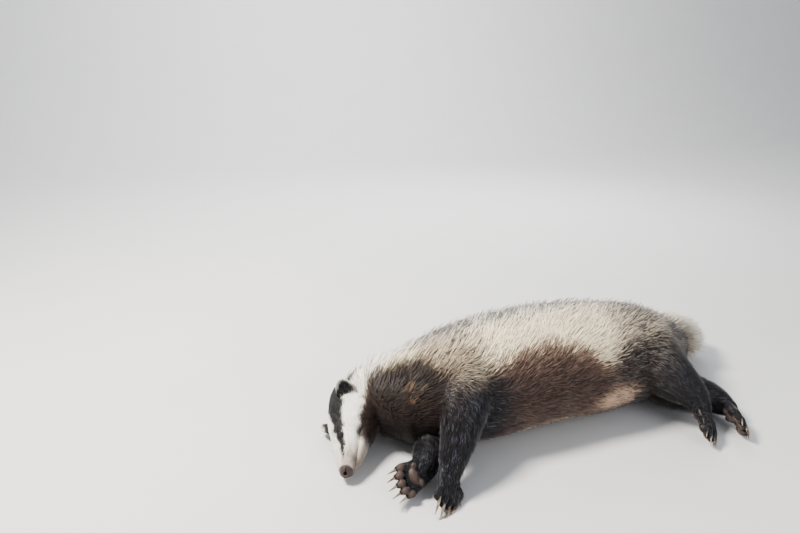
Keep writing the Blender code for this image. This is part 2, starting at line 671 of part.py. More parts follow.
def parting_slabs(ears):
    """Every cut between two nodes. Each slab just clears what lies beside the part that it cuts through."""
    nose = frame_of(on_head(0, NOSE_LENGTH, 0), head_way(0, 1, 0), head_way(0, 0, 1))
    cuts = [slab(nose, NOSE_CUT), slab(frame_of(HEAD_END, HEAD_END_WAY, UP), HEAD_CUT)]
    for middle, way, up, corners in CUTS.values():
        cuts.append(slab(frame_of(Vector(middle), Vector(way), Vector(up)), corners))
    for name, (place, *_) in paw_frames().items():
        cut = place.copy()
        if name.startswith("hind"):
            cut.translation = place @ Vector((0, HINDPAW_CUT_ON, 0))
        cuts.append(slab(cut, FOREPAW_RIGHT_CUT if name == "forepaw_right" else PAW_CUT))
    for place in ears:
        root = place.copy()
        root.translation = place @ Vector((0, EAR_ROOT_CUT, 0))
        cuts.append(slab(root, EAR_CUT))
    return cuts


def floor_cutter():
    bm = bmesh.new()
    edge = FLOOR_HALF
    corners = ((-edge, -edge), (edge, -edge), (edge, edge), (-edge, edge))
    loft(bm, [[Vector((x, y, z)) for x, y in corners] for z in (-0.2, 0)])
    return new_object("floor", bm, helper=True)


def boolean(body, operation, cutters):
    """Joins or cuts the body with all the objects at once, which are then removed. The locks cross at such
    flat angles that the exact solver leaves edges with four faces, and this one doesn't."""
    group = bpy.data.collections.new("operands")
    bpy.context.scene.collection.children.link(group)
    for cutter in cutters:
        group.objects.link(cutter)
    step = body.modifiers.new("Boolean", "BOOLEAN")
    step.operation = operation
    step.operand_type = "COLLECTION"
    step.collection = group
    step.solver = "MANIFOLD"
    applied(body)
    for cutter in cutters:
        bpy.data.objects.remove(cutter, do_unlink=True)
    bpy.data.collections.remove(group)


def closed_surfaces(mesh):
    """For each face, the number of the closed surface that it belongs to, joined from edge to edge."""
    owner = list(range(len(mesh.polygons)))

    def root(i):
        while owner[i] != i:
            owner[i] = owner[owner[i]]
            i = owner[i]
        return i

    first_face = {}
    for face in mesh.polygons:
        for key in face.edge_keys:
            owner[root(face.index)] = root(first_face.setdefault(key, face.index))
    return [root(i) for i in owner]


def part_nodes(body, seeds):
    """Splits the cut body: each node is the closed surface round its seed point. Scraps and hollows go."""
    mesh = body.data
    surface = closed_surfaces(mesh)
    tree = BVHTree.FromPolygons([v.co for v in mesh.vertices], [list(f.vertices) for f in mesh.polygons])
    made = {}
    for name, seed in seeds.items():
        face = tree.ray_cast(seed, Vector((0.02, 0.03, 1)))[2]
        chosen = [f for f, number in zip(mesh.polygons, surface) if number == surface[face]]
        corners = [frozenset(f.vertices) for f in chosen]
        uses = Counter(corners)
        chosen = [f for f, key in zip(chosen, corners) if uses[key] == 1]
        bm = bmesh.new()
        verts = {}
        for face in chosen:
            for i in face.vertices:
                if i not in verts:
                    verts[i] = bm.verts.new(mesh.vertices[i].co)
            bm.faces.new([verts[i] for i in face.vertices])
        made[name] = new_object(name, bm)
    bpy.data.objects.remove(body, do_unlink=True)
    return made


def seed_points(ears):
    """A point inside each node of flesh."""
    def between(stations, index, share):
        return Vector(stations[index][0]).lerp(Vector(stations[index + 1][0]), share)

    seeds = {
        "head": on_head(0, 0.090, 0),
        "nose": on_head(0, 0.0080, -0.0045),
        "neck": Vector((-0.315, 0.010, 0.065)),
        "torso": Vector((0, 0, 0.09)),
        "tail": between(TAIL, 3, 0),
        "foreleg_left": between(FORELEG_LEFT, 3, 0.3),
        "foreleg_right": between(FORELEG_RIGHT, 2, 0),
        "hindleg_left": between(HINDLEG_LEFT, 3, 0.2),
        "hindleg_right": between(HINDLEG_RIGHT, 2, 0.6),
    }
    for name, (place, length, *_) in paw_frames().items():
        seeds[name] = place @ Vector((0, 0.4 * length, 0))
    for name, place in zip(("ear_left", "ear_right"), ears):
        seeds[name] = place @ Vector((0, 0.45 * EAR_HEIGHT, -0.5 * EAR_WALL))
    return seeds


def centre_footprint(objects):
    """Moves everything so that the middle of its footprint is at X = Y = 0."""
    points = [v.co for obj in objects for v in obj.data.vertices]
    middle = [(min(p[axis] for p in points) + max(p[axis] for p in points)) / 2 for axis in (0, 1)]
    for obj in objects:
        obj.data.transform(Matrix.Translation((-middle[0], -middle[1], 0)))


COLOURS = {
    "head": (0.80, 0.77, 0.70),
    "nose": (0.10, 0.08, 0.075),
    "neck": (0.42, 0.38, 0.33),
    "torso": (0.50, 0.46, 0.40),
    "tail": (0.86, 0.80, 0.68),
    "ear": (0.12, 0.10, 0.10),
    "eye": (0.02, 0.015, 0.012),
    "foreleg": (0.045, 0.040, 0.042),
    "forepaw": (0.050, 0.040, 0.038),
    "hindleg": (0.070, 0.062, 0.060),
    "hindpaw": (0.045, 0.040, 0.040),
}


def main():
    clear_scene()
    claws = bmesh.new()
    body = fused_body(claws)
    mesh = body.data
    skin = BVHTree.FromPolygons([v.co for v in mesh.vertices], [list(f.vertices) for f in mesh.polygons])
    ears = [ear_frame(skin, side) for side in (LEFT, RIGHT)]
    eyes = [eye_frame(skin, side) for side in (LEFT, RIGHT)]
    mouth = mouth_cutter(skin)
    added = [new_object("claws", claws, helper=True)]
    added += [ear(place) for place in ears]
    added += [eyeball("lids", place, EYE_RADIUS + LID, helper=True) for place in eyes]
    added += body_locks()
    added += tail_locks()
    boolean(body, "UNION", added)
    taken = [floor_cutter(), mouth]
    taken += [eyeball("socket", place, EYE_RADIUS + GAP * 1.1, helper=True) for place in eyes]
    taken += [slit_cutter(place) for place in eyes]
    for side in (LEFT, RIGHT):
        taken += nostril_cutter(side)
    taken += parting_slabs(ears)
    boolean(body, "DIFFERENCE", taken)
    nodes = part_nodes(body, seed_points(ears))
    for name, place in zip(("eye_left", "eye_right"), eyes):
        nodes[name] = eyeball(name, place, EYE_RADIUS)
    for name, obj in nodes.items():
        obj.data.shade_smooth()
        obj.data.set_sharp_from_angle(angle=SHARP)
        kind = name.split("_")[0]
        roughness = 0.15 if kind == "eye" else 0.45 if kind == "nose" else 0.85
        obj.data.materials.append(material(name + "_coat", COLOURS[kind], roughness))
    centre_footprint(list(nodes.values()))


main()
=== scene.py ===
"""Looks of a life-size european badger that lies on its right side: one skin, a coat of mesh tufts that follow
its lie, claws, whiskers and half-closed eyes, on a pale floor in soft light."""

import math

import bmesh
import bpy
import numpy as np
from mathutils import Matrix, Vector
from mathutils.bvhtree import BVHTree
from mathutils.kdtree import KDTree


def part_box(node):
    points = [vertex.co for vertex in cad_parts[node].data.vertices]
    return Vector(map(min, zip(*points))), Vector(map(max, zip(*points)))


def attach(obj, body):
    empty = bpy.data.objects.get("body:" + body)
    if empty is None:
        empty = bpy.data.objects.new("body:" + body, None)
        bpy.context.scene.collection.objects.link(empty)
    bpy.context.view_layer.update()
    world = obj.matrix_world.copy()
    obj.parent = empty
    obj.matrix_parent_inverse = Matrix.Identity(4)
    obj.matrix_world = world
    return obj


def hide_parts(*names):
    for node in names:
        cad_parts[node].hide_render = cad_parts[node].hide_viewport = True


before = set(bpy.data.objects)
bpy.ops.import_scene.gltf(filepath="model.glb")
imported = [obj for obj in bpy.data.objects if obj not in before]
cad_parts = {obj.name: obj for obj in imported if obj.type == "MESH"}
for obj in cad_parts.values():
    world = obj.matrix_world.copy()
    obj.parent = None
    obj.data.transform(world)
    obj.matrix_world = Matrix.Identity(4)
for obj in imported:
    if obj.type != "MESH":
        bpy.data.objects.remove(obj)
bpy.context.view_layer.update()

# The animal is drawn in its own frame, in metres: +X towards the tail, -Y the way the belly faces, +Z up. The left
# eye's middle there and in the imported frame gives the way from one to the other
EYE_LEFT = Vector((-0.3938, -0.0748, 0.0539))
UP = Vector((0, 0, 1))
eye_low, eye_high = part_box("eye_left")
SHIFT = Vector(((eye_low.x + eye_high.x) / 2 - EYE_LEFT.x, (eye_low.y + eye_high.y) / 2 - EYE_LEFT.y, 0))

# Camera: the photograph's, 28 mm on a frame 36 mm wide, 0.64 m over the floor
FRAME_WIDTH, FRAME_HEIGHT = 800, 533
FOCAL_PIXELS = 622
SENSOR = 36
HORIZON_ROW = 50
CAMERA_HEIGHT = 0.64
CAMERA_TURN = math.radians(14)
ORIGIN_FROM_CAMERA = (0.27, 1.02)  # to the right of the camera and ahead of it

NOSE_TIP = Vector((-0.396, -0.126, 0.019))
OCCIPUT = Vector((-0.361, 0.022, 0.062))
# Trunk sections, nose end first: where the middle lies, half the depth from back to belly and half the width
# from side to side, out to the tips of the coat
TRUNK = (
    ((-0.290, 0.004, 0.072), 0.078, 0.072),
    ((-0.250, -0.008, 0.079), 0.100, 0.085),
    ((-0.197, -0.016, 0.087), 0.118, 0.093),
    ((-0.120, -0.004, 0.093), 0.127, 0.099),
    ((-0.016, 0.015, 0.095), 0.132, 0.101),
    ((0.070, 0.018, 0.095), 0.128, 0.101),
    ((0.144, 0.020, 0.092), 0.113, 0.098),
    ((0.200, 0.026, 0.087), 0.094, 0.091),
    ((0.245, 0.032, 0.082), 0.072, 0.077),
    ((0.275, 0.042, 0.080), 0.052, 0.056),
)
NECK = (
    ((-0.262, -0.010, 0.078), 0.096, 0.082),
    ((-0.300, 0.000, 0.073), 0.076, 0.074),
    ((-0.328, 0.006, 0.066), 0.060, 0.063),
    ((-0.348, -0.006, 0.060), 0.051, 0.055),
    ((-0.360, -0.030, 0.053), 0.042, 0.048),
)
TAIL = (
    ((0.240, 0.030, 0.086), 0.036, 0.036),
    ((0.288, 0.062, 0.084), 0.036, 0.036),
    ((0.325, 0.096, 0.072), 0.052, 0.046),
    ((0.365, 0.122, 0.057), 0.060, 0.051),
    ((0.400, 0.138, 0.047), 0.053, 0.045),
    ((0.420, 0.146, 0.041), 0.038, 0.034),
)
TAIL_TIP = Vector((0.448, 0.157, 0.035))
# Legs, root to wrist or hock: where the middle lies, and half the thickness across and up
LEGS = {
    "foreleg_left": (
        ((-0.178, -0.030, 0.110), 0.066, 0.060),
        ((-0.186, -0.070, 0.112), 0.060, 0.052),
        ((-0.202, -0.112, 0.099), 0.041, 0.037),
        ((-0.220, -0.146, 0.074), 0.029, 0.028),
        ((-0.236, -0.168, 0.051), 0.022, 0.023),
        ((-0.246, -0.186, 0.034), 0.015, 0.015),
    ),
    "foreleg_right": (
        ((-0.208, -0.036, 0.050), 0.054, 0.045),
        ((-0.232, -0.078, 0.036), 0.038, 0.034),
        ((-0.256, -0.116, 0.029), 0.028, 0.027),
        ((-0.271, -0.141, 0.031), 0.022, 0.023),
        ((-0.284, -0.160, 0.033), 0.014, 0.016),
    ),
    "hindleg_left": (
        ((0.190, 0.030, 0.096), 0.086, 0.074),
        ((0.186, -0.026, 0.104), 0.066, 0.062),
        ((0.194, -0.068, 0.094), 0.047, 0.048),
        ((0.212, -0.094, 0.077), 0.034, 0.037),
        ((0.231, -0.110, 0.060), 0.025, 0.027),
        ((0.236, -0.130, 0.044), 0.016, 0.017),
    ),
    "hindleg_right": (
        ((0.214, 0.020, 0.060), 0.068, 0.056),
        ((0.230, -0.028, 0.046), 0.050, 0.045),
        ((0.264, -0.062, 0.036), 0.036, 0.035),
        ((0.294, -0.086, 0.031), 0.025, 0.028),
        ((0.305, -0.114, 0.028), 0.016, 0.018),
    ),
}
# Head sections: distance behind the nose tip, half width, height above and below the snout's axis
HEAD = (
    (0.003, 0.0110, 0.0085, 0.010),
    (0.012, 0.0170, 0.0140, 0.015),
    (0.030, 0.0205, 0.0170, 0.017),
    (0.050, 0.0250, 0.0215, 0.019),
    (0.070, 0.0330, 0.0280, 0.023),
    (0.092, 0.0430, 0.0340, 0.030),
    (0.116, 0.0510, 0.0370, 0.038),
    (0.140, 0.0500, 0.0370, 0.042),
    (0.160, 0.0420, 0.0340, 0.040),
    (0.174, 0.0250, 0.0240, 0.026),
)
# Jaw sections: distance behind the nose tip, height over the snout's axis, half height and half width
JAW = (
    (0.0215, -0.0140, 0.0070, 0.0085),
    (0.030, -0.0165, 0.0095, 0.0135),
    (0.050, -0.0205, 0.0115, 0.0195),
    (0.072, -0.0250, 0.0145, 0.0280),
    (0.100, -0.0300, 0.0185, 0.0360),
)
LIP_SQUARE = 0.55
MOUTH_FRONT, MOUTH_CORNER = 0.0140, 0.066
NOSE_LENGTH = 0.0105
EYE_BACK, EYE_OUT, EYE_HIGH = 0.058, 0.0225, 0.0135
EYE_RADIUS = 0.0056
EYE_DEPTH = 0.0052
LID = 0.0019
SLIT_LENGTH, SLIT_HEIGHT = 0.0104, 0.0020
EAR_BACK, EAR_OUT, EAR_HIGH = 0.122, 0.046, 0.004
EAR_WIDTH, EAR_HEIGHT, EAR_ROOT = 0.034, 0.027, 0.010
EAR_WALL, EAR_CUP = 0.0030, 0.008
TOE_REACH = (0.82, 0.95, 1.00, 0.98, 0.86)
TOE_SPREAD = (-0.40, -0.22, 0.00, 0.22, 0.40)
LEFT, RIGHT = -1, 1

# How far the skin lies inside the outline of the coat: under the long coat, and under short fur
SKIN_LESS_DEPTH, SKIN_LESS_WIDTH = 0.0095, 0.0080
SKIN_SHIFT = Vector((0, -0.0030, -0.0045))
TAIL_SKIN, TAIL_NARROWS = 0.52, 0.09  # the tail's core as a share of the fan, less at each station
LEG_FUR = 0.0028
FACE_FUR = 0.0009
SKIN_VOXEL = 0.00125
FINE_TRIANGLES, COARSE_TRIANGLES = 90000, 26000
FLOOR_CLEAR = 0.0004
SEED = 5


def new_object(name, bm):
    bmesh.ops.recalc_face_normals(bm, faces=bm.faces[:])
    mesh = bpy.data.meshes.new(name)
    bm.to_mesh(mesh)
    bm.free()
    obj = bpy.data.objects.new(name, mesh)
    bpy.context.scene.collection.objects.link(obj)
    return obj


def smooth_rows(rows, steps):
    """The rows with `steps` stretches between each two, on a Catmull-Rom curve through all of them."""
    made = []
    for i in range(len(rows) - 1):
        before, start = rows[max(i - 1, 0)], rows[i]
        end, after = rows[i + 1], rows[min(i + 2, len(rows) - 1)]
        for k in range(steps):
            t = k / steps
            made.append(
                tuple(
                    0.5 * (2 * b + (c - a) * t + (2 * a - 5 * b + 4 * c - d) * t * t
                           + (3 * b - a - 3 * c + d) * t ** 3)
                    for a, b, c, d in zip(before, start, end, after)
                )
            )
    made.append(rows[-1])
    return made


def loft(bm, rings):
    """Joins rings of points, each the same count, into one closed skin with flat ends."""
    loops = [[bm.verts.new(point) for point in ring] for ring in rings]
    count = len(loops[0])
    for first, second in zip(loops, loops[1:]):
        for i in range(count):
            j = (i + 1) % count
            bm.faces.new((first[i], first[j], second[j], second[i]))
    bm.faces.new(list(reversed(loops[0])))
    bm.faces.new(loops[-1])


def limb(bm, stations, sides=32, steps=6, up=UP):
    """A closed tube of oval sections along the stations, with round ends."""
    rows = smooth_rows([(*middle, *sizes) for middle, *sizes in stations], steps)
    points = [Vector(row[:3]) for row in rows]
    rings = []
    for i, row in enumerate(rows):
        tangent = (points[min(i + 1, len(points) - 1)] - points[max(i - 1, 0)]).normalized()
        width = (up - tangent * up.dot(tangent)).normalized()
        depth = tangent.cross(width)
        rings.append((points[i], tangent, depth * row[3], width * row[4]))
    for end, out in ((0, -1), (-1, 1)):
        middle, tangent, depth, width = rings[end]
        for share in (0.5, 0.85):
            shrink = math.sqrt(1 - share * share)
            centre = middle + tangent * (out * share * width.length)
            rings.insert(0 if out < 0 else len(rings), (centre, tangent, depth * shrink, width * shrink))
    loft(
        bm,
        [
            [middle + depth * math.cos(math.tau * k / sides) + width * math.sin(math.tau * k / sides)
             for k in range(sides)]
            for middle, _, depth, width in rings
        ],
    )


def ball(bm, place, radii, rows=12, sides=18):
    """A closed ellipsoid on the axes of `place`, a 4 by 4 matrix."""
    rings = []
    for i in range(1, rows):
        angle = math.pi * i / rows
        ring = []
        for k in range(sides):
            turn = math.tau * k / sides
            ring.append(place @ Vector((radii[0] * math.sin(angle) * math.cos(turn), radii[1] * math.cos(angle),
                                        radii[2] * math.sin(angle) * math.sin(turn))))
        rings.append(ring)
    loft(bm, rings)


def frame_of(origin, forward, up):
    """Axes with Y along `forward`, Z near `up` and X to the right of both."""
    forward = forward.normalized()
    up = (up - forward * up.dot(forward)).normalized()
    place = Matrix((forward.cross(up), forward, up)).transposed().to_4x4()
    place.translation = origin
    return place


# The head's own axes: X to its right, Y forward along the snout, Z to its crown, from the nose tip
HEAD_FRAME = frame_of(NOSE_TIP, NOSE_TIP - OCCIPUT, Vector((-1, 0, 0)))
HEAD_END = Vector((-0.3480, -0.0240, 0.06))
HEAD_END_WAY = Vector((-0.933, -0.36, 0)).normalized()


def on_head(right, back, high):
    """A point of the head: to its right, behind the nose tip, above the snout's axis."""
    return HEAD_FRAME @ Vector((right, -back, high))


def head_way(right, forward, high):
    """A direction on the head's own axes."""
    return (HEAD_FRAME.to_3x3() @ Vector((right, forward, high))).normalized()


def head(bm, sides=48, steps=6):
    """Skull and snout as one loft, the jaw under it, cheeks, brows, whisker pads, chin and nose."""
    rings = []
    for back, half_width, above, below in smooth_rows(HEAD, steps):
        ring = []
        for k in range(sides):
            angle = math.tau * k / sides
            out, high = math.cos(angle), math.sin(angle)
            if high < 0:
                out = math.copysign(abs(out) ** LIP_SQUARE, out)
            height = (above if high > 0 else below) - FACE_FUR
            ring.append(on_head(out * (half_width - FACE_FUR), back, high * height))
        rings.append(ring)
    loft(bm, rings)
    jaw = [(on_head(0, back, high), half_height - FACE_FUR, half_width - FACE_FUR)
           for back, high, half_height, half_width in JAW]
    limb(bm, jaw, 24, 4, head_way(1, 0, 0))
    crown = head_way(0, 0, 1)
    for side in (LEFT, RIGHT):
        cheek = frame_of(on_head(side * 0.030, 0.100, -0.006), head_way(-side * 0.3, 1, 0), crown)
        ball(bm, cheek, (0.0185, 0.0355, 0.0255))
        brow = frame_of(on_head(side * 0.0165, EYE_BACK + 0.006, 0.0185), head_way(-side * 0.4, 1, -0.3), crown)
        ball(bm, brow, (0.0085, 0.016, 0.0065))
        whisker_pad = frame_of(on_head(side * 0.0118, 0.0240, -0.0040), head_way(side * 0.12, 1, 0), crown)
        ball(bm, whisker_pad, (0.0085, 0.0125, 0.0085))
    nose_pad = frame_of(on_head(0, 0.0075, 0.001), head_way(0, 1, 0), crown)
    ball(bm, nose_pad, (0.0128, 0.0090, 0.0098), 18, 28)


def mouth_points(points=41):
    """The line of the mouth from the left corner round the snout to the right: points near it and the way out."""
    rows = []
    for i in range(points):
        share = 2 * i / (points - 1) - 1
        side = abs(share)
        back = MOUTH_FRONT + (MOUTH_CORNER - MOUTH_FRONT) * side ** 1.35
        middle = on_head(0, back + 0.012 * (1 - side), -0.0098 - 0.0075 * side)
        turn = share * math.radians(95)
        rows.append((middle, head_way(math.sin(turn), math.cos(turn), -0.10), side))
    return rows


def mouth_cutter(surface, depth=0.0040, opening=0.0009, proud=0.003):
    """A thin wedge along the line of the mouth, which closes towards its corners. Also gives its line."""
    up = head_way(0, 0, 1)
    rings, line = [], []
    for middle, out, side in mouth_points():
        point = surface.ray_cast(middle + out * 0.08, -out)[0]
        gape = opening * (1.0 - 0.45 * side)
        lip = point + out * proud
        rings.append([lip + up * gape * 1.5, lip - up * gape * 1.5, point - out * depth * (1 - 0.5 * side)])
        line.append(point)
    bm = bmesh.new()
    loft(bm, rings)
    return new_object("mouth_cutter", bm), line


def nostril_cutters(side):
    """A comma: a round hole with a slit that runs back along the side of the nose."""
    crown = head_way(0, 0, 1)
    made = []
    hole = frame_of(on_head(side * 0.0050, -0.0006, 0.0012), head_way(side * 0.40, 1, 0), crown)
    slit = frame_of(on_head(side * 0.0088, 0.0022, 0.0004), head_way(side * 0.80, 0.7, -0.1), crown)
    for place, radii in ((hole, (0.0034, 0.0066, 0.0029)), (slit, (0.0040, 0.0034, 0.0008))):
        bm = bmesh.new()
        ball(bm, place, radii)
        made.append(new_object("nostril_cutter", bm))
    return made


def philtrum_cutter():
    """The groove down the middle of the nose to the upper lip."""
    bm = bmesh.new()
    place = frame_of(on_head(0, -0.0003, -0.0058), head_way(0, 0.35, -1), head_way(0, 1, 0))
    ball(bm, place, (0.0006, 0.0050, 0.0012))
    return new_object("philtrum", bm)


def eye_frame(surface, side):
    """The eye's axes: Y out of the head, X along the lids' opening, Z to the brow."""
    out = head_way(side * 0.80, 0.28, 0.50)
    near = on_head(side * EYE_OUT, EYE_BACK, EYE_HIGH)
    point = surface.ray_cast(near + out * 0.05, -out)[0] + out * FACE_FUR
    return frame_of(point - out * EYE_DEPTH, out, head_way(side * -0.5, 0.1, 1))


def almond(points=24):
    """The lids' opening as shares of its half length and its height."""
    edge = []
    for i in range(points):
        angle = math.tau * i / points
        edge.append((math.cos(angle), math.copysign(abs(math.sin(angle)) ** 1.3 * 0.5, math.sin(angle))))
    return edge


def slit_cutter(place):
    """An almond between the lids, from inside the eye's room to well outside."""
    bm = bmesh.new()
    loft(bm, [[place @ Vector((x * SLIT_LENGTH / 2, out, z * SLIT_HEIGHT)) for x, z in almond()]
              for out in (0.35 * EYE_RADIUS, EYE_RADIUS + 4 * LID)])
    return new_object("slit_cutter", bm)


def socket_cutter(place):
    bm = bmesh.new()
    radius = EYE_RADIUS + 0.0003
    ball(bm, place, (radius, radius, radius), 16, 24)
    return new_object("socket", bm)


def lid_rim(name, place, thickness=0.00055, sides=8):
    """The bare edge of both lids: a thin ring round their opening, which lies on the eyeball."""
    bm = bmesh.new()
    edge = [Vector((x * SLIT_LENGTH / 2 * 1.04, 0, z * SLIT_HEIGHT * 1.18)) for x, z in almond(40)]
    for point in edge:
        point.y = math.sqrt(max((EYE_RADIUS + 0.0007) ** 2 - point.x ** 2 - point.z ** 2, 0))
    rings = []
    for i, point in enumerate(edge):
        tangent = (edge[(i + 1) % len(edge)] - edge[i - 1]).normalized()
        out = Vector((point.x * 0.4, point.y, point.z)).normalized()
        across = tangent.cross(out).normalized()
        out = across.cross(tangent)
        ring = [place @ (point + (across * math.cos(math.tau * k / sides) + out * math.sin(math.tau * k / sides))
                         * thickness) for k in range(sides)]
        rings.append([bm.verts.new(corner) for corner in ring])
    for first, second in zip(rings, rings[1:] + rings[:1]):
        for k in range(sides):
            bm.faces.new((first[k], first[(k + 1) % sides], second[(k + 1) % sides], second[k]))
    return new_object(name, bm)


def ear_frame(surface, side):
    """The ear's axes at its root on the head: X across it, Y to its tip, Z the way it opens. The floor folds
    the right ear up and back."""
    if side == LEFT:
        near = on_head(side * EAR_OUT, EAR_BACK, EAR_HIGH)
        reach, opens = head_way(side * 0.85, -0.34, 0.40), head_way(side * 0.45, 0.85, 0.10)
    else:
        near = on_head(side * EAR_OUT * 0.80, EAR_BACK, EAR_HIGH + 0.022)
        reach, opens = head_way(side * 0.22, -0.40, 0.88), head_way(side * 0.90, 0.40, 0.10)
    point = surface.ray_cast(near + reach * 0.05, -reach)[0]
    return frame_of(point, reach, opens)


def ear(place, rows=18, columns=17):
    """A rounded cup on a short thick root."""
    front, back = [], []
    for j in range(rows):
        up = math.sin(0.5 * math.pi * j / (rows - 1))
        half = EAR_WIDTH / 2 * math.sqrt(1 - 0.94 * (max(up - 0.25, 0) / 0.75) ** 2)
        wall = EAR_WALL * (1.8 - 1.1 * up)
        for layer, offset in ((front, 0.0), (back, -1.0)):
            row = []
            for i in range(columns):
                across = 2 * i / (columns - 1) - 1
                rim = 1 - across * across
                cup = -EAR_CUP * rim * min(up * 1.6, 1) * (1.0 - 0.5 * up)
                row.append(place @ Vector((across * half, (EAR_HEIGHT + EAR_ROOT) * up - EAR_ROOT,
                                           cup + offset * wall * (0.40 + 0.60 * rim) + 0.5 * EAR_CUP)))
            layer.append(row)
    bm = bmesh.new()
    loft(bm, [f + list(reversed(b)) for f, b in zip(front, back)])
    return new_object("ear_form", bm)


def ear_axis(place):
    """The ear's middle line from its root to its tip, with its half width and thickness."""
    stations = [(tuple(place @ Vector((0, EAR_HEIGHT * share, 0))), EAR_WIDTH / 2 * size, 0.0075)
                for share, size in ((0.06, 1.0), (0.35, 1.05), (0.65, 0.95), (1.0, 0.6))]
    return Axis(stations, place.to_3x3() @ Vector((0, 0, 1)))


def paw_frames():
    """Each paw's axes at its wrist or hock, its length without claws, width, claw length and thickness. X runs
    from the first digit to the fifth, Y to the toes, Z to the back of the paw."""
    return {
        "forepaw_left": (frame_of(Vector((-0.246, -0.176, 0.040)), Vector((-0.22, -0.72, -0.52)),
                                  Vector((0.55, -0.55, 0.60))), 0.056, 0.048, 0.024, 0.022),
        "forepaw_right": (frame_of(Vector((-0.276, -0.158, 0.033)), Vector((-0.88, -0.40, -0.06)),
                                   Vector((-0.25, 0.70, -0.62))), 0.056, 0.050, 0.024, 0.022),
        "hindpaw_left": (frame_of(Vector((0.238, -0.116, 0.050)), Vector((-0.20, -0.86, -0.40)),
                                  Vector((0.62, -0.30, 0.70))), 0.076, 0.040, 0.014, 0.024),
        "hindpaw_right": (frame_of(Vector((0.306, -0.100, 0.030)), Vector((-0.16, -0.95, -0.10)),
                                   Vector((0.80, -0.10, 0.45))), 0.082, 0.040, 0.014, 0.024),
    }


def toe_points(length, width, thick):
    """For each toe its root, knuckle and tip on the paw's axes."""
    for reach, spread in zip(TOE_REACH, TOE_SPREAD):
        yield (spread, Vector((0.78 * spread * width, 0.46 * length, 0.04 * thick)),
               Vector((0.95 * spread * width, (reach - 0.26) * length, 0.14 * thick)),
               Vector((1.04 * spread * width, reach * length, -0.10 * thick)))


def paw_pads(place, length, width, thick):
    """The bare pads as ellipsoids: a matrix and three half sizes for each toe and for the palm."""
    pads = []
    for _, _, _, tip in toe_points(length, width, thick):
        pad = place.copy()
        pad.translation = place @ (tip + Vector((0, -0.09 * length, -0.16 * thick)))
        pads.append((pad, (0.112 * width, 0.118 * length, 0.19 * thick)))
    for right, forward, size in ((0.0, 0.50, 1.0), (-0.25, 0.40, 0.62), (0.25, 0.40, 0.62)):
        pad = place.copy()
        pad.translation = place @ Vector((right * width, forward * length, -0.36 * thick))
        pads.append((pad, (0.22 * width * size, 0.13 * length * size, 0.20 * thick)))
    return pads


def paw(bm, place, length, width, thick):
    """Palm, toes and pads."""
    less = 0.0008
    palm = (
        (place @ Vector((0, -0.10 * length, 0)), 0.34 * width - less, 0.44 * thick - less),
        (place @ Vector((0, 0.20 * length, 0)), 0.42 * width - less, 0.46 * thick - less),
        (place @ Vector((0, 0.48 * length, 0)), 0.47 * width - less, 0.42 * thick - less),
        (place @ Vector((0, 0.66 * length, -0.01 * length)), 0.40 * width - less, 0.30 * thick - less),
    )
    back = place.to_3x3() @ Vector((0, 0, 1))
    limb(bm, palm, 24, 4, back)
    toe = 0.125 * width - less
    for _, root, knuckle, tip in toe_points(length, width, thick):
        limb(bm, ((place @ root, toe, toe), (place @ knuckle, toe * 1.02, toe * 1.08),
                  (place @ tip, toe * 0.80, toe * 0.82)), 16, 4, back)
    for pad, radii in paw_pads(place, length, width, thick):
        ball(bm, pad, radii)


def claws(name, place, length, width, claw_length, thick, rings_count=12, sides=12):
    """Five curved claws that taper to a blunt tip, each flattened and deeper than wide."""
    bm = bmesh.new()
    for spread, _, _, tip in toe_points(length, width, thick):
        root = tip + Vector((0, -0.04 * length, 0.10 * thick))
        rings = []
        for step in range(rings_count):
            share = step / (rings_count - 1)
            drop = -0.34 * claw_length * share ** 1.7
            middle = root + Vector((0.10 * spread * claw_length * share, share * claw_length, drop))
            size = 0.0036 * (1 - 0.84 * share ** 1.25) * (claw_length / 0.028) ** 0.4
            ring = []
            for k in range(sides):
                angle = math.tau * k / sides
                keel = 1.0 + 0.16 * max(math.sin(angle), 0) ** 3
                ring.append(place @ (middle + Vector((0.70 * size * math.cos(angle), 0,
                                                      size * keel * math.sin(angle)))))
            lift = max(FLOOR_CLEAR - min(point.z for point in ring), 0)
            rings.append([point + UP * lift for point in ring])
        loft(bm, rings)
    return new_object(name, bm)


def applied(obj):
    """The object with its modifiers turned into its own mesh."""
    graph = bpy.context.evaluated_depsgraph_get()
    mesh = bpy.data.meshes.new_from_object(obj.evaluated_get(graph))
    obj.modifiers.clear()
    obj.data = mesh
    return obj


def boolean(body, operation, operands):
    """Joins or cuts the body with all the objects at once, which are then removed."""
    group = bpy.data.collections.new("operands")
    bpy.context.scene.collection.children.link(group)
    for operand in operands:
        group.objects.link(operand)
    step = body.modifiers.new("Boolean", "BOOLEAN")
    step.operation = operation
    step.operand_type = "COLLECTION"
    step.collection = group
    step.solver = "MANIFOLD"
    applied(body)
    for operand in operands:
        bpy.data.objects.remove(operand, do_unlink=True)
    bpy.data.collections.remove(group)


def tree_of(mesh):
    return BVHTree.FromPolygons([v.co for v in mesh.vertices], [list(f.vertices) for f in mesh.polygons])


def points_of(mesh):
    places = np.zeros(len(mesh.vertices) * 3)
    mesh.vertices.foreach_get("co", places)
    return places.reshape(-1, 3)


def under_coat(stations):
    """The stations of the long coat, drawn in to the skin."""
    return [(Vector(middle) + SKIN_SHIFT, depth - SKIN_LESS_DEPTH, width - SKIN_LESS_WIDTH)
            for middle, depth, width in stations]


def under_fur(stations):
    """The stations of a leg: the fur gets shorter down it."""
    last = len(stations) - 1
    return [(middle, depth - LEG_FUR * (1.5 - i / last), width - LEG_FUR * (1.5 - i / last))
            for i, (middle, depth, width) in enumerate(stations)]


